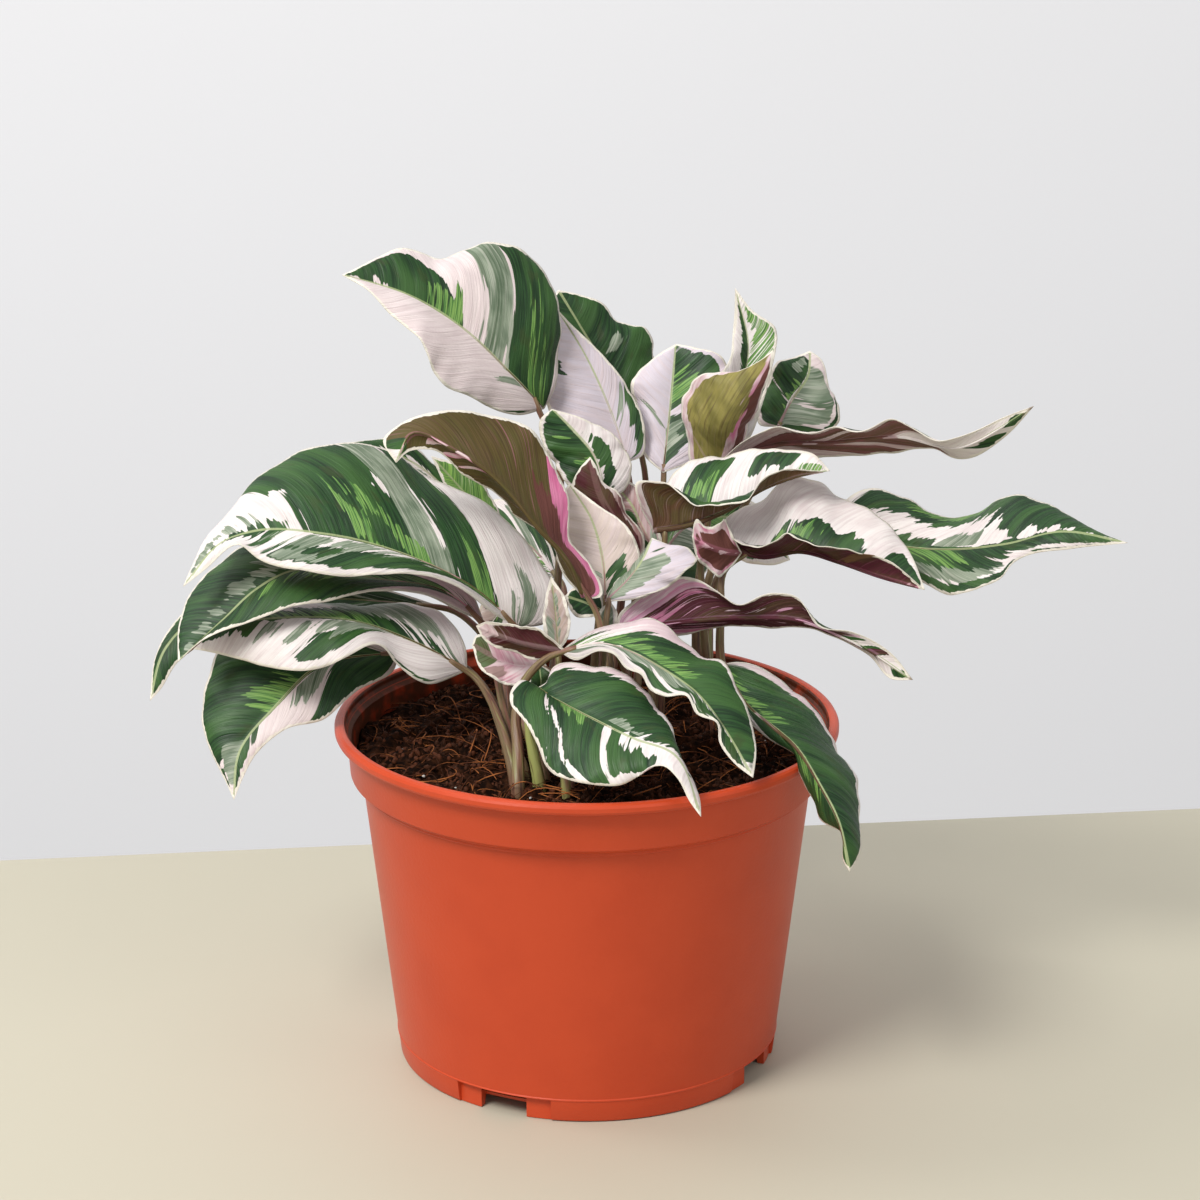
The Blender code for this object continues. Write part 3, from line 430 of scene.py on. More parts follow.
        "stalk": ((730, 705, 9),),
        "foot": (44, -9),
    },
    "leaf_front_round": {
        "midrib": ((535, 689, 44), (594, 720, 58), (636, 740, 65), (673, 754, 70), (701, 817, 76)),
        "left": ((547, 682), (553, 668), (568, 662), (590, 664), (622, 674), (650, 695), (668, 722),
                 (677, 747), (681, 763), (693, 783), (700, 801)),
        "left_lean": (-10, -12, -5),
        "right": ((521, 680), (511, 690), (511, 704), (527, 727), (537, 744), (548, 768), (575, 783),
                  (608, 786), (634, 778), (650, 767), (662, 766), (676, 777), (690, 802)),
        "right_lean": (8, 9, 4),
        "stalk": ((530, 735, 41),),
        "stalk_radius": 2.0,
        "foot": (-14, -43),
    },
    "leaf_front_long": {
        "midrib": ((560, 652, 38), (595, 644, 42), (667, 672, 50), (698, 695, 54), (722, 726, 58),
                   (753, 778, 63)),
        "left": ((570, 644), (608, 625), (655, 621), (682, 640), (700, 652), (722, 661), (734, 684),
                 (748, 709), (754, 732), (756, 755)),
        "left_lean": (-8, -10, -5),
        "right": ((574, 660), (600, 651), (614, 655), (626, 669), (641, 674), (650, 689), (664, 697),
                  (687, 697), (696, 713), (717, 723), (719, 742), (735, 764)),
        "right_lean": (4, 5, 3),
        "lobe": {
            "midrib": ((566, 651, 39), (520, 643, 36), (476, 626, 34)),
            "left": ((540, 630), (505, 624), (486, 622)),
            "left_lean": (3, 4, 2),
            "right": ((545, 661), (515, 653), (484, 640)),
            "right_lean": (-3, -4, -2),
        },
        "stalk": ((534, 668, 35), (517, 700, 34), (518, 740, 36)),
        "stalk_radius": 2.0,
        "foot": (-20, -46),
    },
    "leaf_front_small": {
        "midrib": ((548, 668, 22), (510, 664, 24), (472, 645, 26)),
        "left": ((535, 683), (505, 684), (480, 668)),
        "left_lean": (2, 3, 2),
        "right": ((535, 648), (500, 640), (476, 636)),
        "right_lean": (-2, -4, -2),
        "stalk": ((546, 730, 23),),
        "foot": (-8, -22),
    },
    "leaf_pale_oval": {
        "midrib": ((606, 604, 16), (603, 560, 16), (592, 520, 15), (569, 483, 13)),
        "left": ((585, 596), (557, 560), (553, 515)),
        "left_lean": (-2, -3, -2),
        "right": ((624, 594), (640, 561), (630, 530), (598, 505)),
        "right_lean": (2, 3, 2),
        "stalk": ((606, 680, 18),),
        "foot": (4, -26),
    },
    "leaf_maroon": {
        "midrib": ((640, 560, 6), (618, 525, 7), (600, 495, 8), (590, 457, 8)),
        "left": ((622, 552), (589, 515), (572, 484), (580, 468)),
        "left_lean": (-2, -3, -1),
        "right": ((645, 545), (624, 507), (618, 492), (603, 482), (595, 464)),
        "right_lean": (-2, -3, -1),
        "stalk": ((640, 640, 6),),
        "foot": (14, -8),
    },
    "leaf_pink_flap": {
        "midrib": ((662, 562, 2), (646, 535, 0), (632, 505, -4), (613, 482, -8)),
        "left": ((646, 552), (628, 522), (616, 500)),
        "left_lean": (-1, -1, -1),
        "right": ((662, 540), (652, 515), (645, 497), (630, 482)),
        "right_lean": (1, 1, 1),
        "stalk": ((664, 620, 0),),
        "foot": (22, 6),
    },
    "leaf_spike": {
        "midrib": ((606, 500, -1), (593, 454, 1), (573, 430, 2), (552, 409, 3)),
        "left": ((575, 492), (554, 463), (542, 442), (540, 420)),
        "left_lean": (-1, -2, -1),
        "right": ((625, 490), (630, 458), (612, 434), (584, 419)),
        "right_lean": (-2, -3, -1),
        "stalk": ((606, 600, -2),),
        "foot": (4, -12),
    },
    "leaf_centre_folded": {
        "midrib": ((605, 602, 24), (628, 580, 24), (645, 556, 23), (652, 538, 21)),
        "left": ((610, 590), (637, 561), (648, 545)),
        "left_lean": (-3, -4, -2),
        "right": ((640, 598), (665, 588), (686, 572), (697, 558), (690, 549), (670, 545)),
        "right_lean": (3, 4, 2),
        "stalk": ((610, 650, 25), (611, 700, 27)),
        "foot": (2, -39),
    },
    "leaf_centre_dark": {
        "midrib": ((604, 612, 20), (588, 604, 20), (565, 596, 21)),
        "left": ((596, 616), (575, 616)),
        "left_lean": (1, 1, 1),
        "right": ((599, 592), (575, 587)),
        "right_lean": (-1, -1, -1),
        "lobe": {
            "midrib": ((608, 642, 20), (608, 622, 20), (610, 601, 20)),
            "left": ((601, 634), (599, 612)),
            "left_lean": (1, 1, 1),
            "right": ((614, 632), (617, 612)),
            "right_lean": (1, 1, 1),
        },
        "stalk": ((608, 640, 20), (611, 690, 23)),
        "foot": (8, -31),
    },
    "leaf_centre_beige": {
        "midrib": ((558, 651, 27), (556, 620, 27), (551, 576, 28)),
        "left": ((547, 640), (545, 600)),
        "left_lean": (1, 1, 1),
        "right": ((566, 642), (566, 600)),
        "right_lean": (1, 2, 1),
        "stalk": ((560, 690, 33), (563, 750, 40)),
        "foot": (-6, -46),
    },
    "leaf_front_dark": {
        "midrib": ((542, 697, 30), (541, 682, 30), (539, 664, 29)),
        "left": ((529, 688), (529, 674)),
        "left_lean": (1, 1, 1),
        "right": ((552, 688), (553, 674)),
        "right_lean": (1, 1, 1),
        "stalk": ((547, 735, 33),),
        "foot": (-5, -38),
    },
    "leaf_back_left": {
        "midrib": ((560, 580, -36), (520, 540, -58), (470, 540, -78), (430, 575, -92)),
        "left": ((540, 592), (490, 575), (440, 580)),
        "left_lean": (4, 6, 3),
        "right": ((550, 545), (505, 500), (450, 520)),
        "right_lean": (-6, -10, -5),
        "foot": (-12, 22),
    },
    "leaf_back_middle": {
        "midrib": ((600, 575, -42), (590, 525, -68), (580, 520, -92), (570, 565, -110)),
        "left": ((565, 570), (520, 540), (530, 548)),
        "left_lean": (0, 0, 0),
        "right": ((632, 560), (655, 525), (620, 545)),
        "right_lean": (0, 0, 0),
        "foot": (2, 42),
    },
    "leaf_back_right": {
        "midrib": ((650, 570, -44), (690, 525, -62), (740, 520, -80), (790, 560, -94)),
        "left": ((655, 535), (710, 490), (770, 515)),
        "left_lean": (-6, -10, -5),
        "right": ((670, 590), (725, 560), (775, 565)),
        "right_lean": (4, 6, 3),
        "foot": (30, 44),
    },
    "leaf_back_low": {
        "midrib": ((560, 610, -44), (540, 590, -62), (510, 600, -80), (480, 640, -92)),
        "left": ((545, 622), (515, 625), (485, 640)),
        "left_lean": (2, 2, 1),
        "right": ((545, 585), (505, 575), (478, 615)),
        "right_lean": (-6, -8, -3),
        "foot": (-20, 38),
    },
}

# The markings on the upper face. Each patch is a kind and the span it covers: from and to along
# the midrib, where the veins that bound it start (0 base, 1 tip), then from and to along those
# veins (0 midrib, 1 edge), and for a slanting patch how far it shifts along the midrib. A pale
# patch takes every green away, a pink one tints the bare ground, a dry one is brown, and a shown
# one has the upper face's colours on the under face too.
PATCHES = {
    "leaf_left_large": {
        "right": (("dark", .34, .67, .48, 1), ("dark", .3, .635, .03, .56),
                  ("light", .35, .42, .03, .44, .34),
                  ("light", .46, .5, .04, .3, .2), ("silver", .23, .33, .03, .97),
                  ("dark", .07, .22, 0, .95), ("light", .08, .15, 0, .34), ("silver", -.28, -.1, .18, .64),
                  ("dark", -.22, -.17, .3, .5), ("silver", -.03, .0, .12, .32),
                  ("silver", .78, .97, .1, .4),
                  ("dark", .7, .9, 0, .1)),
        "left": (("dark", -.04, .66, .3, .84), ("silver", .34, .6, .1, .4), ("dark", -.02, .3, 0, .4),
                 ("light", .0, .22, 0, .3), ("silver", .42, .58, .6, .8), ("dark", .7, .86, 0, .3)),
    },
    "leaf_left_second": {
        "right": (("dark", .12, 1, 0, .98), ("silver", .44, .95, .08, .34), ("dark", .6, .95, .16, .2),
                  ("light", .2, .42, 0, .2), ("pink", -.4, .14, 0, 1)),
        "left": (("dark", .04, .98, 0, .94), ("light", .3, .6, 0, .22), ("pink", -.4, .1, 0, 1)),
    },
    "leaf_left_third": {
        "right": (("dark", .1, .9, 0, .46), ("light", .36, .66, 0, .3), ("silver", -.07, .36, .26, .97),
                  ("dark", -.05, .12, 0, .3)),
        "left": (("silver", .5, .66, .08, .55, -.06), ("dark", .25, .46, .3, .84),
                 ("silver", .3, .5, .04, .36),
                 ("pale", .57, .6, .1, .5), ("dark", -.4, -.1, .88, 1), ("dark", .72, .98, 0, .3)),
    },
    "leaf_left_low": {
        "right": (("dark", .0, .84, 0, 1), ("light", .42, .6, 0, .3), ("silver", .76, .94, 0, .6),
                  ("dark", .84, .96, .6, .96), ("pale", -.3, .04, .8, 1)),
        "left": (("dark", -.34, .23, 0, .96), ("silver", .26, .45, 0, .46), ("dark", .68, 1, 0, .56),
                 ("dark", .38, .5, .93, 1), ("dark", .54, .64, .93, 1)),
    },
    "leaf_left_far": {
        "right": (("dark", -.4, .98, 0, .95), ("silver", .1, .5, .2, .4)),
        "left": (("dark", -.4, .98, 0, .95), ("silver", .2, .6, .3, .6)),
    },
    "leaf_left_behind": {
        "left": (("silver", .0, .8, .1, .7), ("dark", .3, .7, .5, .9)),
        "right": (("dark", -.2, .9, .1, .85),),
    },
    "leaf_left_young": {
        "left": (("light", -.5, 1.3, -.1, .93),),
        "right": (("light", -.5, 1.3, -.1, .93),),
    },
    "leaf_centre_olive": {
        "left": (("dark", .26, .93, 0, 1), ("dark", .1, .36, 0, .93), ("dark", 0, .2, 0, .74),
                 ("dark", -.06, .1, 0, .52), ("dark", -.4, .04, 0, .34), ("deep", -.5, .28, .1, .7),
                 ("pink", -.7, .3, .2, 1), ("shown", .9, 1.3, -1, 1)),
        "right": (("dark", -.36, 1, 0, 1), ("pale", .56, .59, .1, .8), ("pale", .66, .69, .2, .9),
                  ("pale", .76, .8, .1, .7), ("shown", .92, 1.3, -1, 1)),
    },
    "leaf_crown_west": {
        "right": (("dark", .55, 1, 0, .86, .14), ("light", .5, .64, 0, .3), ("pale", .8, .86, 0, .2),
                  ("silver", .245, .395, .06, .94), ("dark", -.3, .25, .0, .94),
                  ("light", -.14, -.02, .04, .5), ("light", .04, .12, 0, .56)),
        "left": (("silver", .09, .19, .04, .5), ("dark", -.4, -.3, .8, 1)),
    },
    "leaf_crown_pale": {
        "right": (("dark", -.32, .15, .62, .97), ("silver", .2, .26, .3, .8)),
        "left": (("dark", .5, .6, .6, .9),),
    },
    "leaf_crown_back": {
        "left": (("dark", -.2, 1.1, .03, 1), ("light", .3, .4, .1, .5), ("silver", .62, .68, .1, .5)),
        "right": (("dark", -.2, 1.1, .03, 1), ("light", .1, .2, .1, .4), ("silver", .44, .5, .2, .6)),
    },
    "leaf_crown_fan": {
        "left": (("silver", .3, .36, .3, .9),),
        "right": (("dark", -.05, 1, 0, .84), ("pale", .46, .5, .2, 1), ("silver", .16, .4, .0, .3),
                  ("light", .5, .7, 0, .3), ("pale", -.1, .05, .5, 1)),
    },
    "leaf_rolled": {
        "right": (("light", .38, .86, .1, .95), ("dark", .0, .3, .1, .9)),
        "left": (("dark", .44, .92, 0, .46), ("light", .1, .4, .0, .5)),
    },
    "leaf_fan_east": {
        "left": (("dark", -.3, .96, 0, .92), ("pale", .34, .37, .4, 1), ("silver", .66, .9, .3, .6),
                 ("light", .3, .6, 0, .2)),
        "right": (("silver", -.08, .74, .03, .84), ("pale", .36, .4, .1, .84), ("dark", -.38, -.06, .3, 1),
                  ("dark", -.1, .4, .86, 1)),
    },
    "leaf_east_wavy": {
        "left": (("dark", .08, .28, .1, .97), ("dark", .34, .52, .1, .97), ("shown", .55, 1.2, -1, 1),
                 ("dark", .72, .84, .3, .95), ("dark", .88, 1.1, 0, .97), ("dry", .975, 1.2, 0, 1)),
        "right": (("dark", .02, .26, .0, .9), ("dark", .3, .53, .04, .97), ("shown", .55, 1.2, -1, 1),
                  ("dark", .9, 1.1, 0, .97), ("dry", .975, 1.2, 0, 1)),
    },
    "leaf_east_broad": {
        "left": (("dark", -.35, .5, .56, 1), ("dark", .42, 1, .14, 1, -.1), ("dark", .1, .32, 0, .2),
                 ("silver", .33, .52, 0, .3), ("light", -.1, .3, .8, 1)),
        "right": (("dark", -.35, 1, 0, .7), ("silver", -.22, .5, .6, .76), ("dark", -.35, .98, .82, 1),
                  ("light", .04, .4, .0, .36), ("pale", .5, .58, .5, 1)),
    },
    "leaf_east_trough": {
        "left": (("dark", .16, .62, .05, .42), ("light", .2, .34, .08, .3), ("dark", .7, 1, 0, .74)),
        "right": (("dark", -.2, .97, .0, .96), ("dry", .52, .6, .3, 1)),
    },
    "leaf_east_upper": {
        "left": (("dark", .02, .34, .12, .9, .1), ("dark", .5, .8, .36, .88), ("light", .1, .3, .3, .6),
                 ("light", .8, .95, .1, .5)),
        "right": (("dark", -.25, .95, 0, .96),),
    },
    "leaf_purple": {
        "left": (("dark", .15, .76, 0, .36), ("dark", .07, .7, .3, .7), ("dark", -.02, .62, .64, 1),
                 ("pink", .02, .15, 0, .36), ("pink", -.07, .07, .3, .7), ("pink", -.16, -.02, .64, 1),
                 ("shown", .72, 1.2, -1, 1), ("dark", .9, 1.1, 0, .92), ("dry", .985, 1.2, 0, 1)),
        "right": (("dark", .15, .75, 0, .36), ("dark", .07, .7, .3, .7), ("dark", -.02, .66, .64, 1),
                  ("pink", .02, .15, 0, .36), ("pink", -.07, .07, .3, .7),
                  ("shown", .72, .82, -1, 1), ("dark", .8, .86, 0, .9), ("shown", .86, 1.2, -1, 1),
                  ("dark", .94, 1.1, .1, 1), ("dry", .985, 1.2, 0, 1)),
    },
    "leaf_front_east": {
        "left": (("dark", -.25, 1.1, 0, .9), ("light", -.05, .34, 0, .16), ("deep", -.3, .6, .3, .74),
                 ("pink", -.3, .1, .8, 1), ("pale", -.4, .04, .8, 1)),
        "right": (("silver", -.2, .02, .15, .8), ("dark", .1, 1.1, 0, 1), ("light", .45, .6, .1, .36)),
    },
    "leaf_front_round": {
        "left": (("dark", -.36, .78, 0, .86), ("silver", .38, .54, 0, .16), ("pink", -.4, .2, .84, 1),
                 ("pale", .6, 1.3, -.1, .2)),
        "right": (("dark", -.4, .66, 0, 1), ("light", .14, .3, 0, .22), ("pale", .13, .2, .4, .97, .36),
                  ("pale", .395, .435, .04, .84), ("pale", .4, .84, .74, 1.1),
                  ("pale", .5, 1.3, -.1, .3, .1),
                  ("pale", .01, .03, .66, .93)),
    },
    "leaf_front_long": {
        "left": (("dark", -.27, .07, .1, .5), ("light", -.24, 0, .1, .34), ("dark", .14, 1, 0, .9),
                 ("light", .1, .52, 0, .28), ("pale", .09, .13, .16, 1), ("pink", -.3, .3, .6, 1),
                 ("pale", .14, .34, .84, 1), ("pale", .5, .54, .9, 1)),
        "right": (("dark", .1, .34, .48, .84), ("silver", .06, .56, 0, .4), ("dark", .36, 1, 0, .92),
                  ("silver", -.2, .1, .0, .5), ("pale", .36, .56, .66, .74), ("pale", .62, .97, .06, .18)),
    },
    "leaf_front_small": {
        "left": (("dark", .6, 1.2, 0, 1), ("silver", .35, .6, .45, 1), ("dark", -.4, .0, .5, 1)),
        "right": (("dark", .7, 1.2, 0, 1), ("deep", -.2, .66, .6, 1)),
    },
    "leaf_pale_oval": {
        "right": (("dark", -.36, .24, .1, .62), ("light", -.3, -.1, .1, .3), ("dark", .07, .12, .92, 1)),
        "left": (("silver", -.36, .1, 0, .2),),
    },
    "leaf_maroon": {
        "left": (("dark", -.3, 1, 0, .94),),
        "right": (("dark", -.3, 1, 0, .6), ("silver", .0, .4, .7, .95)),
    },
    "leaf_spike": {
        "left": (("dark", -.3, .99, .02, .88), ("light", .58, .68, .3, .6), ("light", .27, .38, 0, .3)),
        "right": (("dark", .0, .56, .14, .44, -.1),),
    },
    "leaf_centre_folded": {
        "left": (("silver", -.4, 1, 0, .82),),
        "right": (("silver", -.4, .66, 0, .52), ("dark", -.36, .48, .1, .42), ("dark", .74, .77, .1, .5),
                  ("dark", .85, .88, .1, .6)),
    },
    "leaf_centre_dark": {
        "left": (("dark", -.4, 1.2, 0, 1),),
        "right": (("dark", -.4, 1.2, 0, 1),),
    },
    "leaf_centre_beige": {
        "left": (("silver", -.1, .3, .2, .8),),
        "right": (("silver", -.4, 1.2, .1, .4),),
    },
    "leaf_front_dark": {
        "left": (("dark", -.4, 1.2, 0, 1),),
        "right": (("dark", -.4, 1.2, 0, 1),),
    },
    "leaf_pink_flap": {
        "left": (("dark", .0, .55, .25, .9), ("pale", .2, .24, 0, 1)),
        "right": (("silver", -.3, .15, .0, .6), ("dark", .0, .06, .0, .4)),
    },
}
FREE_PATCHES = {
    "left": (("dark", -.1, .34, .12, .88), ("light", .05, .3, 0, .34), ("silver", .4, .52, .05, .7),
             ("dark", .56, .92, .1, .84), ("light", .6, .8, .02, .3)),
    "right": (("dark", -.2, .2, .3, .93), ("silver", .18, .3, .04, .8), ("dark", .33, .74, .06, .9),
              ("light", .38, .6, 0, .32), ("dark", .84, .97, 0, .4)),
}
LOBE_PATCHES = {
    "leaf_east_trough": {
        "left": (("deep", -.5, .8, -.2, .66),),
        "right": (("deep", -.5, .8, .1, .74),),
    },
    "leaf_centre_dark": {
        "left": (("silver", -.4, 1.2, 0, 1),),
        "right": (("silver", -.4, 1.2, 0, .6),),
    },
    "leaf_rolled": {
        "left": (("dark", -.6, 1.2, 0, .8),),
        "right": (("dark", -.6, 1.2, 0, .3), ("pink", -.6, 1.2, .26, .5), ("deep", -.6, 1.2, .46, .84)),
    },
    "leaf_front_long": {
        "left": (("dark", -.3, .8, 0, .9),),
        "right": (("dark", -.3, .8, 0, .9),),
    },
}

# Colours as red, green and blue light: the upper face where it is bare of green, the under face
# beneath green, and the under face beneath bare parts
CREAM = (0.78, 0.725, 0.70)
ROSE_WHITE = (0.74, 0.64, 0.63)
LAVENDER = (0.60, 0.54, 0.60)
MIST = (0.58, 0.48, 0.43)
MAROON = (0.080, 0.017, 0.021)
PURPLE = (0.082, 0.015, 0.026)
OLIVE_BROWN = (0.108, 0.054, 0.024)
OLIVE = (0.27, 0.235, 0.065)
SPRING_GREEN = (0.24, 0.44, 0.08)
GREY_GREEN = (0.11, 0.16, 0.07)
PINK = (0.56, 0.19, 0.29)
OLIVE_SHADE = (0.092, 0.066, 0.018)
ROSE = (0.55, 0.27, 0.33)
LILAC_PINK = (0.60, 0.31, 0.44)
MAUVE_BROWN = (0.22, 0.085, 0.08)
PALE_PINK = (0.54, 0.37, 0.385)
DUSTY_PINK = (0.34, 0.19, 0.18)
DUSTY_BEIGE = (0.44, 0.33, 0.27)
USUAL_FACES = (CREAM, OLIVE_BROWN, PALE_PINK)
LEAF_FACES = {
    "leaf_left_large": (CREAM, OLIVE_BROWN, PINK),
    "leaf_left_second": (ROSE_WHITE, OLIVE_BROWN, PINK),
    "leaf_left_low": (ROSE_WHITE, OLIVE_BROWN, PALE_PINK),
    "leaf_left_behind": (CREAM, OLIVE_BROWN, DUSTY_PINK),
    "leaf_left_young": (SPRING_GREEN, SPRING_GREEN, SPRING_GREEN),
    "leaf_centre_olive": (CREAM, OLIVE_SHADE, PINK),
    "leaf_crown_west": (ROSE_WHITE, OLIVE_BROWN, PALE_PINK),
    "leaf_crown_pale": (LAVENDER, MAROON, PALE_PINK),
    "leaf_crown_fan": (LAVENDER, MAROON, PALE_PINK),
    "leaf_rolled": (CREAM, OLIVE, PALE_PINK),
    "leaf_fan_east": (ROSE_WHITE, OLIVE_BROWN, PALE_PINK),
    "leaf_east_wavy": (CREAM, MAUVE_BROWN, PALE_PINK),
    "leaf_east_trough": (CREAM, PURPLE, PINK),
    "leaf_east_upper": (CREAM, OLIVE_BROWN, PALE_PINK),
    "leaf_purple": (CREAM, PURPLE, LILAC_PINK),
    "leaf_front_small": (CREAM, GREY_GREEN, ROSE),
    "leaf_front_long": (CREAM, MAROON, PALE_PINK),
    "leaf_pale_oval": (MIST, OLIVE_BROWN, DUSTY_PINK),
    "leaf_maroon": (CREAM, MAROON, DUSTY_PINK),
    "leaf_pink_flap": (DUSTY_PINK, OLIVE_BROWN, DUSTY_PINK),
    "leaf_centre_folded": (LAVENDER, MAROON, PALE_PINK),
    "leaf_centre_beige": (DUSTY_BEIGE, OLIVE_BROWN, DUSTY_PINK),
}
TURNED_OVER = ("leaf_front_small", "leaf_maroon")
LENGTHWISE_LOBES = ("leaf_rolled",)
GREEN_STALKS = ("leaf_front_round", "leaf_left_young", "leaf_centre_beige")

# The colours of the markings on both faces, then those of the stalks, the pot and the compost
FLUSH = (0.60, 0.49, 0.495)
FLUSH_DEEP = (0.62, 0.43, 0.475)
FLUSH_GREY = (0.46, 0.42, 0.40)
DARK_GREEN = (0.008, 0.030, 0.009)
DARK_GREEN_LIT = (0.021, 0.070, 0.018)
DARK_WARM = (0.036, 0.055, 0.014)
MID_GREEN = (0.046, 0.118, 0.027)
SILVER_GREEN = (0.27, 0.315, 0.235)
SILVER_GREEN_DEEP = (0.13, 0.175, 0.115)
SILVER_PALE = (0.44, 0.46, 0.38)
SILVER_DARK = (0.06, 0.105, 0.05)
LIGHT_GREEN = (0.19, 0.345, 0.085)
LIGHT_GREEN_DEEP = (0.06, 0.165, 0.035)
MIDRIB_GREEN = (0.36, 0.42, 0.21)
RIM_CREAM = (0.76, 0.71, 0.62)
UNDER_OLIVE = (0.082, 0.078, 0.019)
UNDER_DARK = (0.052, 0.024, 0.014)
UNDER_DEEP = (0.13, 0.045, 0.036)
DRY_BROWN = (0.16, 0.085, 0.04)
HOT_PINK = (0.56, 0.13, 0.28)
STALK_OLIVE = (0.20, 0.135, 0.065)
STALK_BROWN = (0.20, 0.082, 0.055)
STALK_GREEN = (0.25, 0.235, 0.09)
STALK_FRESH = (0.34, 0.36, 0.11)
STALK_DARK = (0.075, 0.035, 0.025)
POT_COLOUR = (0.56, 0.064, 0.018)
POT_COLOUR_DEEP = (0.53, 0.058, 0.016)
# Painted shade: the darker colour laid on the pot's inner wall above the compost
POT_PAINTED_SHADE = (0.11, 0.03, 0.013)
SOIL_DARK = (0.007, 0.003, 0.0018)
SOIL_BROWN = (0.034, 0.012, 0.005)
FIBRE_ORANGE = (0.40, 0.135, 0.040)
FIBRE_BROWN = (0.085, 0.026, 0.011)
PERLITE_WHITE = (0.75, 0.72, 0.68)
PERLITE_GREY = (0.5, 0.47, 0.43)

# The painted shade within the pot lies inside each of these radii and above its height, in millimetres
PAINTED_SHADE_BANDS = ((71.4, 91.2), (72.1, 102.2), (73.1, 103.3))
PAINTED_SHADE_EDGE = 0.1

# How rough each surface is, how strongly it reflects, and the depth of its relief in millimetres
UPPER_SURFACE = (0.46, 0.3, 0.24)
UNDER_SURFACE = (0.55, 0.22, 0.2)
STALK_SURFACE = (0.48, 0.5, 0.35)
POT_SURFACE = (0.4, 0.32, 0.06)
SOIL_SURFACE = (0.95, 0.05, 1.2)
LITTER_SURFACE = (0.7, 0.12, 0.0)
TABLE_ROUGHNESS = 0.6
WALL_ROUGHNESS = 0.9

# How many features a metre the pot's and the compost's surfaces have
# The painted shade on the pot's inner wall breaks into blotches at this rate
PAINTED_SHADE_RATE = 160.0
POT_MOTTLE_RATE = 45.0
POT_GRAIN_RATE = 900.0
SOIL_CRUMB_RATE = 420.0
LITTER_RATE = 150.0

# The grains of the markings, each as features a millimetre along the side veins and across them
BROAD_GRAIN = (0.11, 0.03)
COARSE_GRAIN = (0.33, 0.05)
FINE_GRAIN = (1.1, 0.08)
THREAD_GRAIN = (3.0, 0.1)
MOTTLE_GRAIN = (0.16, 0.16)
STREAK_GRAIN = (0.7, 0.025)
STALK_STREAK_GRAIN = (0.06, 1.1)
STALK_PATCH_GRAIN = (0.05, 0.12)

# How far the grains move the edges of the markings, in millimetres
TEETH = {"coarse": 9.0, "fine": 2.6, "broad": 7.0}
FEATHERS = {"coarse": 12.0, "fine": 6.0}
TEETH_FADE = (-1.0, 9.0)
DEEP_TEETH = 0.6
OTHER_TEETH = 0.5
MARK_SOFTNESS = 0.14
PINK_STRAY = 18.0
PINK_SOFTNESS = 3.0
RIM_STRAY = 1.6
RIM_FADE = (0.85, 0.7)

# How strong the tints are and how wide the midrib is drawn, on the upper and the under face
UPPER_PINK = 0.65
UNDER_PINK = 0.85
UPPER_MIDRIB = 0.8
UNDER_MIDRIB = 0.25
UPPER_MIDRIB_FADE = (0.5, 0.3)
UNDER_MIDRIB_FADE = (1.1, 0.7)
MIDRIB_STRAY = 0.3
STRAND_FADE = (0.34, 0.5)
THREAD_RELIEF = 0.35
BROAD_RELIEF = 3.0

# What is laid over a base colour: the grain that places it, where it begins and is whole, how
# strong it is, and its colour
GROUND_LAYERS = (
    ("fine", 0.42, 0.66, 0.45, FLUSH),
    ("mottle", 0.45, 0.7, 0.4, FLUSH),
    ("thread", 0.5, 0.75, 0.25, FLUSH_GREY),
)
DARK_LAYERS = (
    ("fine", 0.38, 0.62, 1.0, DARK_GREEN_LIT),
    ("broad", 0.44, 0.64, 0.75, MID_GREEN),
    ("thread", 0.52, 0.7, 0.5, DARK_GREEN),
    ("mottle", 0.58, 0.7, 0.5, DARK_WARM),
)
SILVER_LAYERS = (
    ("mottle", 0.35, 0.7, 1.0, SILVER_GREEN_DEEP),
    ("fine", 0.5, 0.64, 0.6, SILVER_PALE),
    ("streak", 0.54, 0.6, 0.55, SILVER_DARK),
    ("thread", 0.5, 0.7, 0.35, SILVER_DARK),
)
LIGHT_LAYERS = (("thread", 0.42, 0.6, 1.0, LIGHT_GREEN_DEEP),)


def sight(pixels, near):
    """The places seen at pixels, each `near` millimetres from the rim's middle towards the eye."""
    towards_eye = np.array([0.0, -math.cos(EYE_ELEVATION), math.sin(EYE_ELEVATION)])
    eye = np.array([0.0, 0.0, POT_HEIGHT]) + EYE_DISTANCE * towards_eye
    ahead = np.array([math.sin(VIEW_YAW) * math.cos(VIEW_PITCH),
                      math.cos(VIEW_YAW) * math.cos(VIEW_PITCH), -math.sin(VIEW_PITCH)])
    across = np.array([math.cos(VIEW_YAW), -math.sin(VIEW_YAW), 0.0])
    above = np.cross(across, ahead)
    pixels = np.asarray(pixels, float)
    near = np.broadcast_to(np.asarray(near, float), pixels.shape[:1])
    rays = ahead + np.outer((pixels[:, 0] - PICTURE_CENTRE) / LENS_PIXELS, across)
    rays += np.outer((PICTURE_CENTRE - pixels[:, 1]) / LENS_PIXELS, above)
    return eye + rays * ((near - EYE_DISTANCE) / (rays @ towards_eye))[:, None]


def rail_shares(points):
    """How far along each point of a rail lies, from 0 to 1, and the rail's length."""
    lengths = np.concatenate([[0.0], np.cumsum(np.linalg.norm(np.diff(points, axis=0), axis=1))])
    return lengths / lengths[-1], lengths[-1]


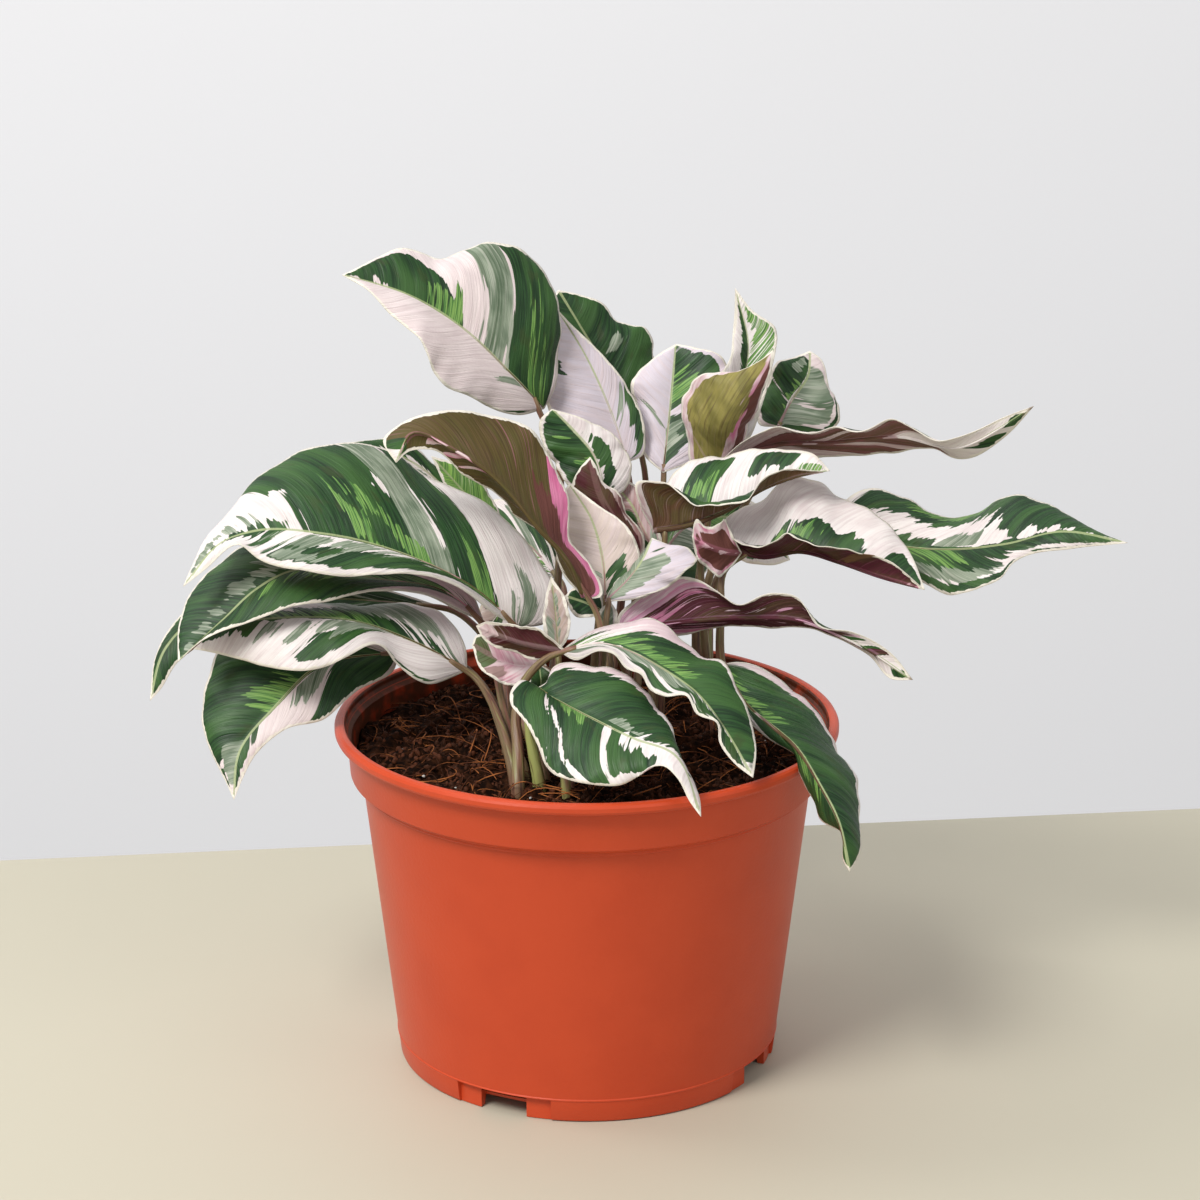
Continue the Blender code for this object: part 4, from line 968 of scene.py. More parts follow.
def smooth_rail(points, shares):
    """Points of a smooth curve through a rail's points, at shares of its length."""
    points = np.asarray(points, float)
    if points.ndim == 1:
        points = points[:, None]
    knots, length = rail_shares(points)
    knots = knots * length
    widths = np.maximum(np.diff(knots), TINY)
    reach = np.asarray(shares, float) * length
    span = np.clip(np.searchsorted(knots, reach, side="right") - 1, 0, len(points) - 2)
    slopes = np.diff(points, axis=0) / widths[:, None]
    tangents = np.empty_like(points)
    tangents[0], tangents[-1] = slopes[0], slopes[-1]
    for knot in range(1, len(points) - 1):
        before, after = widths[knot - 1], widths[knot]
        tangents[knot] = (slopes[knot - 1] * after + slopes[knot] * before) / (before + after)
    local = ((reach - knots[span]) / widths[span])[:, None]
    width = widths[span][:, None]
    square, cube = local ** 2, local ** 3
    return (points[span] * (2 * cube - 3 * square + 1)
            + tangents[span] * width * (cube - 2 * square + local)
            + points[span + 1] * (3 * square - 2 * cube)
            + tangents[span + 1] * width * (cube - square))


def smooth_values(values, shares):
    """Values that run from nought through three values and back to nought."""
    places = np.array(LEAN_PLACES)
    heights = np.array([0.0, *values, 0.0])
    shares = np.asarray(shares, float)
    span = np.clip(np.searchsorted(places, shares, side="right") - 1, 0, len(values))
    local = (shares - places[span]) / (places[span + 1] - places[span])
    ease = local * local * (3 - 2 * local)
    return heights[span] + (heights[span + 1] - heights[span]) * ease


def margin_rail(leaf, side):
    """One edge of a blade: its pixels, set nearer or farther than the midrib by its lean."""
    midrib = np.array(leaf["midrib"], float)
    picture = np.array([midrib[0, :2], *leaf[side], midrib[-1, :2]], float)
    shares, _ = rail_shares(picture)
    knots, _ = rail_shares(sight(midrib[:, :2], midrib[:, 2]))
    near = smooth_rail(np.column_stack([knots, midrib[:, 2]]), shares)[:, 1]
    return sight(picture, near + smooth_values(leaf[side + "_lean"], shares))


def unit(vectors):
    """Vectors brought to a length of one."""
    return vectors / np.maximum(np.linalg.norm(vectors, axis=-1, keepdims=True), TINY)


def blade_half(leaf, side, shares, columns):
    """A grid of points over one half of a blade, from its midrib to its edge, domed and waved along its
    upward directions.
    """
    midrib = np.array(leaf["midrib"], float)
    midrib = sight(midrib[:, :2], midrib[:, 2])
    margin = margin_rail(leaf, side)
    middle = smooth_rail(midrib, shares)
    edge = smooth_rail(margin, shares) - middle
    further = smooth_rail(midrib, np.minimum(shares + AHEAD, 1))
    ahead = further - smooth_rail(midrib, np.maximum(shares - AHEAD, 0))
    upward = unit(np.cross(ahead, edge) if side == "left" else np.cross(edge, ahead))
    width = np.linalg.norm(edge, axis=1)
    column = columns[None, :]
    share = shares[:, None]
    dome = 4 * column * (1 - column) * BLADE_BULGE * width[:, None]
    swing = np.sin(2 * math.pi * EDGE_WAVES * share + (0.0 if side == "left" else RIGHT_WAVE_START))
    wave = EDGE_WAVE * swing * column ** 2 * np.sin(math.pi * share)
    wave = wave * np.minimum(1.0, width[:, None] / FULL_WAVE_WIDTH)
    rise = (dome + wave)[:, :, None]
    return middle[:, None, :] + edge[:, None, :] * columns[None, :, None] + upward[:, None, :] * rise


def vein_share(shares, columns):
    """Where the vein through each point leaves the midrib, from the point's own shares."""
    swept = VEIN_SWEEP * columns[None, :]
    return (shares[:, None] - swept) / (1 - swept)


def patch_field(patch, along, across, length, widths):
    """How far inside a patch each point lies, in millimetres; less than nought is outside."""
    _, start, end, inner, outer = patch[:5]
    slant = patch[5] if len(patch) > 5 else 0.0
    middle = (start + end) / 2 + slant * (across - (inner + outer) / 2)
    reach = (end - start) / 2
    if inner <= PATCH_NEAR_MIDRIB:
        inner = -outer
    if outer >= PATCH_NEAR_EDGE:
        outer = 2 - inner
    spread = (outer - inner) / 2
    lengthwise = np.abs((along - middle) / reach) ** PATCH_SQUARENESS
    sideways = np.abs((across - (inner + outer) / 2) / spread) ** PATCH_SQUARENESS
    strayed = (lengthwise + sideways) ** (1 / PATCH_SQUARENESS)
    return (1 - strayed) * np.minimum(reach * length, spread * widths)


def pattern_fields(patches, along, across, length, widths):
    """One field for each kind of patch over one half of a blade."""
    fields = {kind: np.full(along.shape, OUTSIDE) for kind in PATCH_KINDS}
    for patch in patches:
        inside = patch_field(patch, along, across, length, widths)
        if patch[0] == "pale":
            for kind in (*GREEN_KINDS, "deep"):
                fields[kind] = np.minimum(fields[kind], -inside)
        else:
            fields[patch[0]] = np.maximum(fields[patch[0]], inside)
    return fields


def edge_ripple(shares, columns, widths, side):
    """A fine ruffle towards the edge, none at the midrib."""
    start = RIPPLE_START[side]
    swing = np.sin(2 * math.pi * RIPPLES * shares + start)
    swing = swing * np.sin(2 * math.pi * RIPPLE_BEAT * shares + 2 * start)
    fade = np.sin(math.pi * shares) * np.minimum(1.0, widths / FULL_WAVE_WIDTH)
    return RIPPLE_HEIGHT * (swing * fade)[:, None] * columns[None, :] ** 3


def vein_relief(along, length, columns, widths):
    """Low folds between the side veins, strongest halfway to the edge."""
    folds = np.cos(2 * math.pi * along * length / FOLD_SPACING)
    fade = np.sin(math.pi * np.clip(columns, 0, 1))[None, :]
    fade = fade * np.minimum(1.0, widths / FULL_WAVE_WIDTH)[:, None]
    return FOLD_HEIGHT * folds * fade


def blade_sheet(leaf, patches):
    """A whole blade as a grid from its left edge over the midrib to its right edge."""
    shares = np.arange(LEAF_ROWS + 1) / LEAF_ROWS
    shares[0], shares[-1] = BLADE_END, 1 - BLADE_END
    columns = (np.arange(LEAF_COLUMNS + 1) / LEAF_COLUMNS) ** COLUMN_EVENNESS
    midrib = np.array(leaf["midrib"], float)
    _, length = rail_shares(sight(midrib[:, :2], midrib[:, 2]))
    halves = {}
    for side in ("left", "right"):
        points = blade_half(leaf, side, shares, columns)
        across = np.broadcast_to(columns[None, :], points.shape[:2])
        widths = np.linalg.norm(points[:, -1] - points[:, 0], axis=1)
        along = vein_share(shares, columns)
        ahead = np.gradient(points, axis=0)
        outward = np.gradient(points, axis=1)
        upward = unit(np.cross(ahead, outward) if side == "left" else np.cross(outward, ahead))
        lift = edge_ripple(shares, columns, widths, side)
        lift = lift + vein_relief(along, length, columns, widths)
        points = points + upward * lift[:, :, None]
        fields = pattern_fields(patches[side], along, across, length, widths[:, None])
        halves[side] = {
            "points": points, "along": along * length, "across": across * widths[:, None],
            "edge": (1 - across) * widths[:, None],
            "greens": np.stack([fields[kind] for kind in GREEN_KINDS], axis=-1),
            "pink": fields["pink"], **{kind: fields[kind] for kind in EXTRA_FIELDS},
        }
    left, right = halves["left"], halves["right"]
    sheet = {}
    for key in left:
        sheet[key] = np.concatenate([left[key][:, :0:-1], right[key]], axis=1)
    sheet["signed"] = np.concatenate([-left["across"][:, :0:-1], right["across"]], axis=1)
    ahead = np.gradient(sheet["points"], axis=0)
    outward = np.gradient(sheet["points"], axis=1)
    sheet["upward"] = unit(np.cross(outward, ahead))
    return sheet


def sheet_solid(sheet):
    """Both faces of a blade and the rim between them: points, faces and which face is which."""
    rows, width = sheet["points"].shape[:2]
    taper = np.clip(sheet["edge"] / EDGE_TAPER, THINNEST_EDGE, 1.0)[:, :, None]
    half = sheet["upward"] * (LEAF_THICKNESS / 2) * taper
    top = (sheet["points"] + half).reshape(-1, 3)
    bottom = (sheet["points"] - half).reshape(-1, 3)
    count = rows * width
    numbers = np.arange(count).reshape(rows, width)
    a, b = numbers[:-1, :-1], numbers[:-1, 1:]
    c, d = numbers[1:, 1:], numbers[1:, :-1]
    upper = np.stack([a, b, c, d], axis=-1).reshape(-1, 4)
    under = np.stack([d, c, b, a], axis=-1).reshape(-1, 4) + count
    rim = np.concatenate([numbers[0, :], numbers[1:, -1], numbers[-1, -2::-1], numbers[-2:0:-1, 0]])
    after = np.roll(rim, -1)
    sides = np.stack([after, rim, rim + count, after + count], axis=-1)
    faces = np.concatenate([upper, under, sides])
    counts = (len(upper), len(under), len(sides))
    kinds = np.repeat((UPPER_FACE, UNDER_FACE, UPPER_FACE), counts)
    return np.concatenate([top, bottom]), faces, kinds


def tube(route, radii, sides):
    """A closed tube along a route: its points, faces, end caps and how far along and around
    each point lies."""
    route = np.asarray(route, float)
    ahead = unit(np.gradient(route, axis=0))
    across = np.cross(ahead[0], [0.0, 0.0, 1.0])
    if np.linalg.norm(across) < 0.1:
        across = np.array([1.0, 0.0, 0.0])
    rings, reach = [], []
    _, length = rail_shares(route)
    steps = np.concatenate([[0.0], np.cumsum(np.linalg.norm(np.diff(route, axis=0), axis=1))])
    turns = 2 * math.pi * np.arange(sides) / sides
    for place, forward, radius, step in zip(route, ahead, radii, steps):
        across = unit(across - forward * np.dot(across, forward))
        above = np.cross(forward, across)
        rings.append(place + radius * (np.outer(np.cos(turns), across) + np.outer(np.sin(turns), above)))
        reach.append(np.column_stack([np.full(sides, step), turns * radius]))
    points = np.concatenate(rings)
    faces = []
    for ring in range(len(route) - 1):
        for turn in range(sides):
            low, next_low = ring * sides + turn, ring * sides + (turn + 1) % sides
            faces.append((low, next_low, next_low + sides, low + sides))
    first = list(range(sides))[::-1]
    last = [(len(route) - 1) * sides + turn for turn in range(sides)]
    return points, faces, [first, last], np.concatenate(reach)


def soil_height(x, y):
    """The height of the compost's top at a place, in millimetres."""
    crown = SOIL_CROWN * (1 - (x * x + y * y) / COLLAR_FOOT_RADIUS ** 2)
    lumps = np.sin(LUMP_ACROSS * x + LUMP_START_ACROSS) * np.cos(LUMP_ALONG * y - LUMP_START_ALONG)
    slants = SLANT_SHARE * np.sin(SLANT_ACROSS * x - SLANT_ALONG * y)
    return SOIL_LEVEL + crown + SOIL_LUMP * (lumps + slants)


def stalk_points(leaf):
    """The stalk's points from the blade's base down into the compost."""
    midrib = np.array(leaf["midrib"], float)
    rail = sight(midrib[:, :2], midrib[:, 2])
    x, y = leaf["foot"]
    level = float(soil_height(x, y))
    bends = [smooth_rail(rail, [STALK_INSET])[0], rail[0]]
    bends += [sight([point[:2]], point[2])[0] for point in leaf.get("stalk", ())]
    bends += [np.array([x, y, level + STALK_STAND])]
    collar = np.array([x, y, level + STALK_COLLAR])
    return np.array(bends), collar, np.array([x, y, level - STALK_DEPTH + STALK_FOOT_GAP])


def stalk_tube(leaf):
    """The stalk as one smooth tube that thickens from the blade down to the compost."""
    bends, collar, foot = stalk_points(leaf)
    shares = np.arange(STALK_RINGS) / STALK_RINGS
    coarse = smooth_rail(bends, np.arange(STALK_COARSE_STEPS) / STALK_COARSE_STEPS)
    rail = np.concatenate([coarse, [collar], [foot]])
    route = smooth_rail(rail, np.append(shares, 1.0))
    thick = leaf.get("stalk_radius", STALK_RADIUS)
    grown = np.minimum(np.append(shares, 1.0) * STALK_THICKENING, 1)
    radii = STALK_TOP_RADIUS + (thick - STALK_TOP_RADIUS) * grown
    return tube(route, radii, STALK_SIDES)


def rib_tube(sheet):
    """The raised midrib on the under face, thinning out towards the tip."""
    middle = sheet["points"][:, LEAF_COLUMNS]
    down = -sheet["upward"][:, LEAF_COLUMNS]
    rows = len(middle)
    shares = np.linspace(0, 1, rows)
    radii = RIB_RADIUS * (1 - shares) ** RIB_TAPER + RIB_TIP_RADIUS
    route = middle + down * (radii * RIB_SUNK)[:, None]
    keep = slice(1, rows - 3, 2)
    points, faces, caps, reach = tube(route[keep], radii[keep], RIB_SIDES)
    carried = {}
    for key in ("greens", "pink", *EXTRA_FIELDS):
        carried[key] = np.repeat(sheet[key][keep, LEAF_COLUMNS], RIB_SIDES, axis=0)
    return (points, faces, caps, reach[:, ::-1]), carried


def add_node(tree, kind, inputs=None, **settings):
    """A shader node with its settings, and each input given a value or linked to a socket."""
    node = tree.nodes.new(kind)
    for name, value in settings.items():
        setattr(node, name, value)
    for key, value in (inputs or {}).items():
        if isinstance(value, bpy.types.NodeSocket):
            tree.links.new(value, node.inputs[key])
        else:
            node.inputs[key].default_value = value
    return node


def calc(tree, operation, first, second=0.0):
    """The outcome of one sum between two values or sockets."""
    return add_node(tree, "ShaderNodeMath", {0: first, 1: second}, operation=operation).outputs[0]


def blend(tree, factor, first, second):
    """One colour laid over another by a factor from 0 to 1."""
    mix = add_node(tree, "ShaderNodeMix", {0: factor}, data_type="RGBA")
    for place, colour in ((6, first), (7, second)):
        if isinstance(colour, bpy.types.NodeSocket):
            tree.links.new(colour, mix.inputs[place])
        else:
            mix.inputs[place].default_value = (*colour, 1.0)
    return mix.outputs[2]


def stretched_noise(tree, along, across, seed, grain, detail=2.0):
    """Noise stretched along the side veins; the grain holds features a millimetre."""
    place = add_node(tree, "ShaderNodeCombineXYZ", {
        0: calc(tree, "MULTIPLY", along, grain[0]),
        1: calc(tree, "MULTIPLY", across, grain[1]),
        2: seed,
    }).outputs[0]
    wanted = {"Vector": place, "Scale": 1.0, "Detail": detail}
    return add_node(tree, "ShaderNodeTexNoise", wanted).outputs["Fac"]


def step_mask(tree, value, low, high):
    """A mask that rises softly from 0 at the first value to 1 at the second."""
    return add_node(tree, "ShaderNodeMapRange", {"Value": value, "From Min": low, "From Max": high},
                    interpolation_type="SMOOTHSTEP").outputs[0]


def new_material(name):
    """An empty material with one shader, and the tree that holds it."""
    material = bpy.data.materials.new(name)
    material.use_nodes = True
    tree = material.node_tree
    tree.nodes.clear()
    shader = add_node(tree, "ShaderNodeBsdfPrincipled")
    output = add_node(tree, "ShaderNodeOutputMaterial")
    tree.links.new(shader.outputs[0], output.inputs["Surface"])
    return material, tree, shader


def coat(tree, shader, surface, colour, relief=None):
    """Gives a shader its surface and colour, and a relief where there is one."""
    roughness, specular, depth = surface
    shader.inputs["Roughness"].default_value = roughness
    shader.inputs["Specular IOR Level"].default_value = specular
    tree.links.new(colour, shader.inputs["Base Color"])
    if relief is not None:
        wanted = {"Height": relief, "Strength": 1.0, "Distance": depth * MM}
        bump = add_node(tree, "ShaderNodeBump", wanted)
        tree.links.new(bump.outputs[0], shader.inputs["Normal"])


def vein_places(tree):
    """The places along and across a blade or a stalk, in millimetres."""
    veins = add_node(tree, "ShaderNodeUVMap", uv_map="veins")
    place = add_node(tree, "ShaderNodeSeparateXYZ", {0: veins.outputs[0]})
    return [calc(tree, "MULTIPLY", place.outputs[axis], VEIN_SPAN) for axis in (0, 1)]


class VeinNodes:
    """What both faces of a leaf read: places along the veins, the fields and their masks."""

    def __init__(self, tree):
        self.tree = tree
        self.along, self.across = vein_places(tree)
        zones = add_node(tree, "ShaderNodeSeparateXYZ", {0: self.read("zones", "Vector")})
        self.pink, self.edge, self.seed = zones.outputs[:3]
        greens = add_node(tree, "ShaderNodeSeparateXYZ", {0: self.read("greens", "Vector")})
        self.broad = self.noise(BROAD_GRAIN)
        self.coarse = self.noise(COARSE_GRAIN)
        self.fine = self.noise(FINE_GRAIN)
        self.thread = self.noise(THREAD_GRAIN)
        self.mottle = self.noise(MOTTLE_GRAIN)
        self.streak = self.noise(STREAK_GRAIN)
        teeth = self.stray(TEETH)
        feather = self.stray(FEATHERS)
        self.dark = self.field_mask(greens.outputs[0], teeth)
        self.silver = self.field_mask(greens.outputs[1], teeth)
        strands = step_mask(tree, self.fine, *STRAND_FADE)
        self.light = calc(tree, "MULTIPLY", self.field_mask(greens.outputs[2], feather), strands)
        self.deep, self.shown, self.dry = [
            self.field_mask(self.read(kind, "Fac"), calc(tree, "MULTIPLY", teeth, share))
            for kind, share in zip(EXTRA_FIELDS, (DEEP_TEETH, OTHER_TEETH, OTHER_TEETH))]
        pink = calc(tree, "ADD", self.pink, self.centred(self.coarse, PINK_STRAY))
        self.pinkness = step_mask(tree, pink, -PINK_SOFTNESS, PINK_SOFTNESS)
        rim = calc(tree, "ADD", self.edge, self.centred(self.coarse, RIM_STRAY))
        self.rim = step_mask(tree, rim, *RIM_FADE)
        self.from_midrib = calc(tree, "ABSOLUTE", self.across)

    def noise(self, grain):
        return stretched_noise(self.tree, self.along, self.across, self.seed, grain)

    def stray(self, heights):
        """How far a marking's edge strays: grains of given heights, less near the blade's rim."""
        total = 0.0
        for grain, height in heights.items():
            total = calc(self.tree, "ADD", self.centred(getattr(self, grain), height), total)
        return calc(self.tree, "MULTIPLY", total, step_mask(self.tree, self.edge, *TEETH_FADE))

    def read(self, name, output):
        return add_node(self.tree, "ShaderNodeAttribute", attribute_name=name).outputs[output]

    def centred(self, noise, height):
        """A noise that strays to both sides of nought."""
        return calc(self.tree, "MULTIPLY", calc(self.tree, "SUBTRACT", noise, 0.5), height)

    def field_mask(self, field, stray):
        """A marking's mask: whole where its field, moved by the stray, is above nought."""
        strayed = calc(self.tree, "ADD", field, stray)
        return step_mask(self.tree, strayed, -MARK_SOFTNESS, MARK_SOFTNESS)

    def partly(self, noise, low, high, share):
        """A mask of one grain, at less than full strength."""
        return calc(self.tree, "MULTIPLY", step_mask(self.tree, noise, low, high), share)

    def layered(self, colour, layers):
        """A base colour with others laid over it by the grains."""
        for grain, low, high, share, over in layers:
            mask = self.partly(getattr(self, grain), low, high, share)
            colour = blend(self.tree, mask, colour, over)
        return colour

    def vein_height(self):
        """The relief of the veins: fine ribs, with broad and thin ones among them."""
        tree = self.tree
        ribs = calc(tree, "ADD", calc(tree, "MULTIPLY", self.thread, THREAD_RELIEF), self.fine)
        return calc(tree, "ADD", ribs, calc(tree, "MULTIPLY", self.broad, BROAD_RELIEF))


def upper_colour(tree, veins):
    """Dark, silver and light green laid over a pale, faintly flushed ground."""
    ground = veins.layered(veins.read("bare_colour", "Color"), GROUND_LAYERS)
    ground = blend(tree, calc(tree, "MULTIPLY", veins.pinkness, UPPER_PINK), ground, FLUSH_DEEP)
    dark = veins.layered(DARK_GREEN, DARK_LAYERS)
    colour = blend(tree, veins.dark, ground, dark)
    colour = blend(tree, veins.silver, colour, veins.layered(SILVER_GREEN, SILVER_LAYERS))
    colour = blend(tree, veins.light, colour, veins.layered(LIGHT_GREEN, LIGHT_LAYERS))
    colour = blend(tree, veins.deep, colour, dark)
    middle = calc(tree, "ADD", veins.from_midrib, veins.centred(veins.broad, MIDRIB_STRAY))
    middle = step_mask(tree, middle, *UPPER_MIDRIB_FADE)
    return blend(tree, calc(tree, "MULTIPLY", middle, UPPER_MIDRIB), colour, MIDRIB_GREEN)


def make_upper_material():
    """The upper face: satin, in its greens on a pale ground, with a thin cream rim."""
    material, tree, shader = new_material("leaf_upper_face")
    veins = VeinNodes(tree)
    colour = blend(tree, veins.rim, upper_colour(tree, veins), RIM_CREAM)
    colour = blend(tree, veins.dry, colour, DRY_BROWN)
    coat(tree, shader, UPPER_SURFACE, colour, veins.vein_height())
    return material


def make_under_material():
    """The under face: dark beneath green, pink beneath bare parts, and where a blade twists its
    upper face's colours."""
    material, tree, shader = new_material("leaf_under_face")
    veins = VeinNodes(tree)
    above = veins.read("bare_colour", "Color")
    bare = veins.read("bare_under", "Color")
    cover = veins.read("green_under", "Color")
    ground = veins.layered(bare, (("mottle", 0.4, 0.65, 0.6, above), ("fine", 0.45, 0.7, 0.4, above)))
    ground = blend(tree, calc(tree, "MULTIPLY", veins.pinkness, UNDER_PINK), ground, HOT_PINK)
    shade = veins.layered(cover, (
        ("mottle", 0.4, 0.65, 0.5, UNDER_OLIVE),
        ("thread", 0.5, 0.75, 0.12, bare),
        ("fine", 0.5, 0.7, 0.5, UNDER_DARK),
        ("streak", 0.64, 0.7, 0.3, bare),
    ))
    colour = blend(tree, calc(tree, "MAXIMUM", veins.dark, veins.light), ground, shade)
    colour = blend(tree, veins.silver, colour, blend(tree, 0.5, cover, bare))
    colour = blend(tree, veins.deep, colour, UNDER_DEEP)
    middle = step_mask(tree, veins.from_midrib, *UNDER_MIDRIB_FADE)
    colour = blend(tree, calc(tree, "MULTIPLY", middle, UNDER_MIDRIB), colour, bare)
    colour = blend(tree, veins.shown, colour, upper_colour(tree, veins))
    colour = blend(tree, veins.rim, colour, RIM_CREAM)
    colour = blend(tree, veins.dry, colour, DRY_BROWN)
    coat(tree, shader, UNDER_SURFACE, colour, veins.vein_height())
    return material


def make_stalk_material():
    """A stalk: olive and red-brown in long streaks, with fine lengthwise grooves."""
    material, tree, shader = new_material("leaf_stalk")
    along, around = vein_places(tree)
    zones = add_node(tree, "ShaderNodeAttribute", attribute_name="zones")
    zones = add_node(tree, "ShaderNodeSeparateXYZ", {0: zones.outputs["Vector"]})
    freshness, seed = zones.outputs[0], zones.outputs[2]
    streaks = stretched_noise(tree, along, around, seed, STALK_STREAK_GRAIN, 3.0)
    patches = stretched_noise(tree, along, around, seed, STALK_PATCH_GRAIN)
    colour = blend(tree, step_mask(tree, patches, 0.38, 0.62), STALK_OLIVE, STALK_BROWN)
    colour = blend(tree, step_mask(tree, streaks, 0.5, 0.72), colour, STALK_GREEN)
    fresh = calc(tree, "MULTIPLY", freshness, step_mask(tree, patches, 0.66, 0.44))
    colour = blend(tree, fresh, colour, STALK_FRESH)
    colour = blend(tree, step_mask(tree, streaks, 0.42, 0.3), colour, STALK_DARK)
    coat(tree, shader, STALK_SURFACE, colour, streaks)
    return material


def object_noise(tree, rate, detail=3.0):
    """Noise over the object's own places; the rate is features a metre."""
    place = add_node(tree, "ShaderNodeTexCoord").outputs["Object"]
    wanted = {"Vector": place, "Scale": rate, "Detail": detail}
    return add_node(tree, "ShaderNodeTexNoise", wanted).outputs["Fac"]


def inner_wall_painted_shade(tree):
    """A mask of painted shade for the inner wall above the compost, broken into blotches."""
    place = add_node(tree, "ShaderNodeTexCoord").outputs["Object"]
    parts = add_node(tree, "ShaderNodeSeparateXYZ", {"Vector": place}).outputs
    squares = [calc(tree, "MULTIPLY", parts[axis], parts[axis]) for axis in ("X", "Y")]
    radius = calc(tree, "SQRT", calc(tree, "ADD", *squares))
    painted_shade = 0.0
    for inner, foot in PAINTED_SHADE_BANDS:
        inside = step_mask(tree, radius, (inner + PAINTED_SHADE_EDGE) * MM, (inner - PAINTED_SHADE_EDGE) * MM)
        above = step_mask(tree, parts["Z"], (foot - PAINTED_SHADE_EDGE) * MM, (foot + PAINTED_SHADE_EDGE) * MM)
        painted_shade = calc(tree, "MAXIMUM", painted_shade, calc(tree, "MULTIPLY", inside, above))
    # The painted shade is broken into blotches
    blotches = step_mask(tree, object_noise(tree, PAINTED_SHADE_RATE), 0.2, 0.55)
    return calc(tree, "MULTIPLY", painted_shade, blotches)


def make_pot_material():
    """Terracotta-coloured moulded plastic with a faint mottle, and painted shade within."""
    material, tree, shader = new_material("terracotta_plastic")
    mottle = object_noise(tree, POT_MOTTLE_RATE)
    colour = blend(tree, step_mask(tree, mottle, 0.35, 0.7), POT_COLOUR, POT_COLOUR_DEEP)
    # Painted shade: the inner wall above the compost is darkened
    colour = blend(tree, inner_wall_painted_shade(tree), colour, POT_PAINTED_SHADE)
    coat(tree, shader, POT_SURFACE, colour, object_noise(tree, POT_GRAIN_RATE))
    return material


def make_soil_material():
    """Dark crumbly coir compost."""
    material, tree, shader = new_material("coir_compost")
    crumbs = object_noise(tree, SOIL_CRUMB_RATE, 6.0)
    colour = blend(tree, step_mask(tree, crumbs, 0.4, 0.66), SOIL_DARK, SOIL_BROWN)
    coat(tree, shader, SOIL_SURFACE, colour, crumbs)
    return material


def make_fibre_material(name, colour, other):
    """A dry fibre or crumb, in two colours that vary from place to place."""
    material, tree, shader = new_material(name)
    mask = step_mask(tree, object_noise(tree, LITTER_RATE), 0.4, 0.62)
    mixed = blend(tree, mask, colour, other)
    coat(tree, shader, LITTER_SURFACE, mixed)
    return material


def new_piece(name, mesh, materials=()):
    """A finished object at the origin, in the scene's own collection."""
    for material in materials:
        mesh.materials.append(material)
    piece = bpy.data.objects.new(name, mesh)
    bpy.context.scene.collection.objects.link(piece)
    return piece


def store(mesh, name, values, kind="FLOAT_VECTOR", key="vector"):
    """Keeps values on a mesh's points under a name."""
    attribute = mesh.attributes.new(name, kind, "POINT")
    attribute.data.foreach_set(key, np.ascontiguousarray(values, dtype=np.float32).ravel())


class PieceMesh:
    """Gathers the parts of one leaf and their attributes into a single mesh."""

    def __init__(self):
        self.points, self.faces, self.kinds = [], [], []
        self.veins, self.greens, self.zones, self.extra = [], [], [], []
        self.count = 0

    def add(self, points, faces, kinds, veins, greens, zones, extra):
        self.points.append(points)
        self.faces += [tuple(int(corner) + self.count for corner in face) for face in faces]
        self.kinds += list(kinds)
        self.veins.append(veins)
        self.greens.append(greens)
        self.zones.append(zones)
        self.extra.append(extra)
        self.count += len(points)

    def add_blade(self, sheet, seed, turned_over=False, lengthwise=False):
        points, faces, kinds = sheet_solid(sheet)
        if turned_over:
            kinds = UNDER_FACE - kinds
        flat = {key: sheet[key].reshape(-1) for key in FLAT_FIELDS}
        veins = np.column_stack([flat["along"], flat["signed"]])
        if lengthwise:
            veins = veins[:, ::-1]
        zones = np.column_stack([flat["pink"], flat["edge"], np.full(len(flat["pink"]), seed)])
        extra = np.column_stack([flat[key] for key in EXTRA_FIELDS])
        fields = [veins, sheet["greens"].reshape(-1, 3), zones, extra]
        self.add(points, faces, kinds, *[np.tile(field, (2, 1)) for field in fields])

    def add_tube(self, parts, seed, kind, carried=None, freshness=OUTSIDE):
        points, faces, caps, reach = parts
        count = len(points)
        if carried is None:
            carried = {key: np.full(count, OUTSIDE) for key in EXTRA_FIELDS}
            carried["greens"] = np.full((count, 3), OUTSIDE)
            carried["pink"] = np.full(count, freshness)
        zones = np.column_stack([carried["pink"], np.full(count, FAR_FROM_EDGE), np.full(count, seed)])
        extra = np.column_stack([carried[key] for key in EXTRA_FIELDS])
        self.add(points, faces + caps, [kind] * (len(faces) + 2), reach, carried["greens"], zones, extra)

    def build(self, name, materials, colours):
        mesh = bpy.data.meshes.new(name)
        points = np.concatenate(self.points) * MM
        mesh.from_pydata(points.tolist(), [], self.faces)
        mesh.polygons.foreach_set("material_index", np.array(self.kinds, dtype=np.int32))
        mesh.polygons.foreach_set("use_smooth", np.ones(len(self.kinds), dtype=bool))
        store(mesh, "greens", np.concatenate(self.greens))
        store(mesh, "zones", np.concatenate(self.zones))
        extra = np.concatenate(self.extra)
        for column, key in enumerate(EXTRA_FIELDS):
            store(mesh, key, extra[:, column], "FLOAT", "value")
        for key, colour in zip(("bare_colour", "green_under", "bare_under"), colours):
            store(mesh, key, np.tile((*colour, 1.0), (len(points), 1)), "FLOAT_COLOR", "color")
        veins = np.concatenate(self.veins) / VEIN_SPAN
        layer = mesh.uv_layers.new(name="veins")
        corners = np.empty(len(mesh.loops), dtype=np.int32)
        mesh.loops.foreach_get("vertex_index", corners)
        layer.data.foreach_set("uv", np.ascontiguousarray(veins[corners], dtype=np.float32).ravel())
        mesh.update()
        return new_piece(name, mesh, materials)


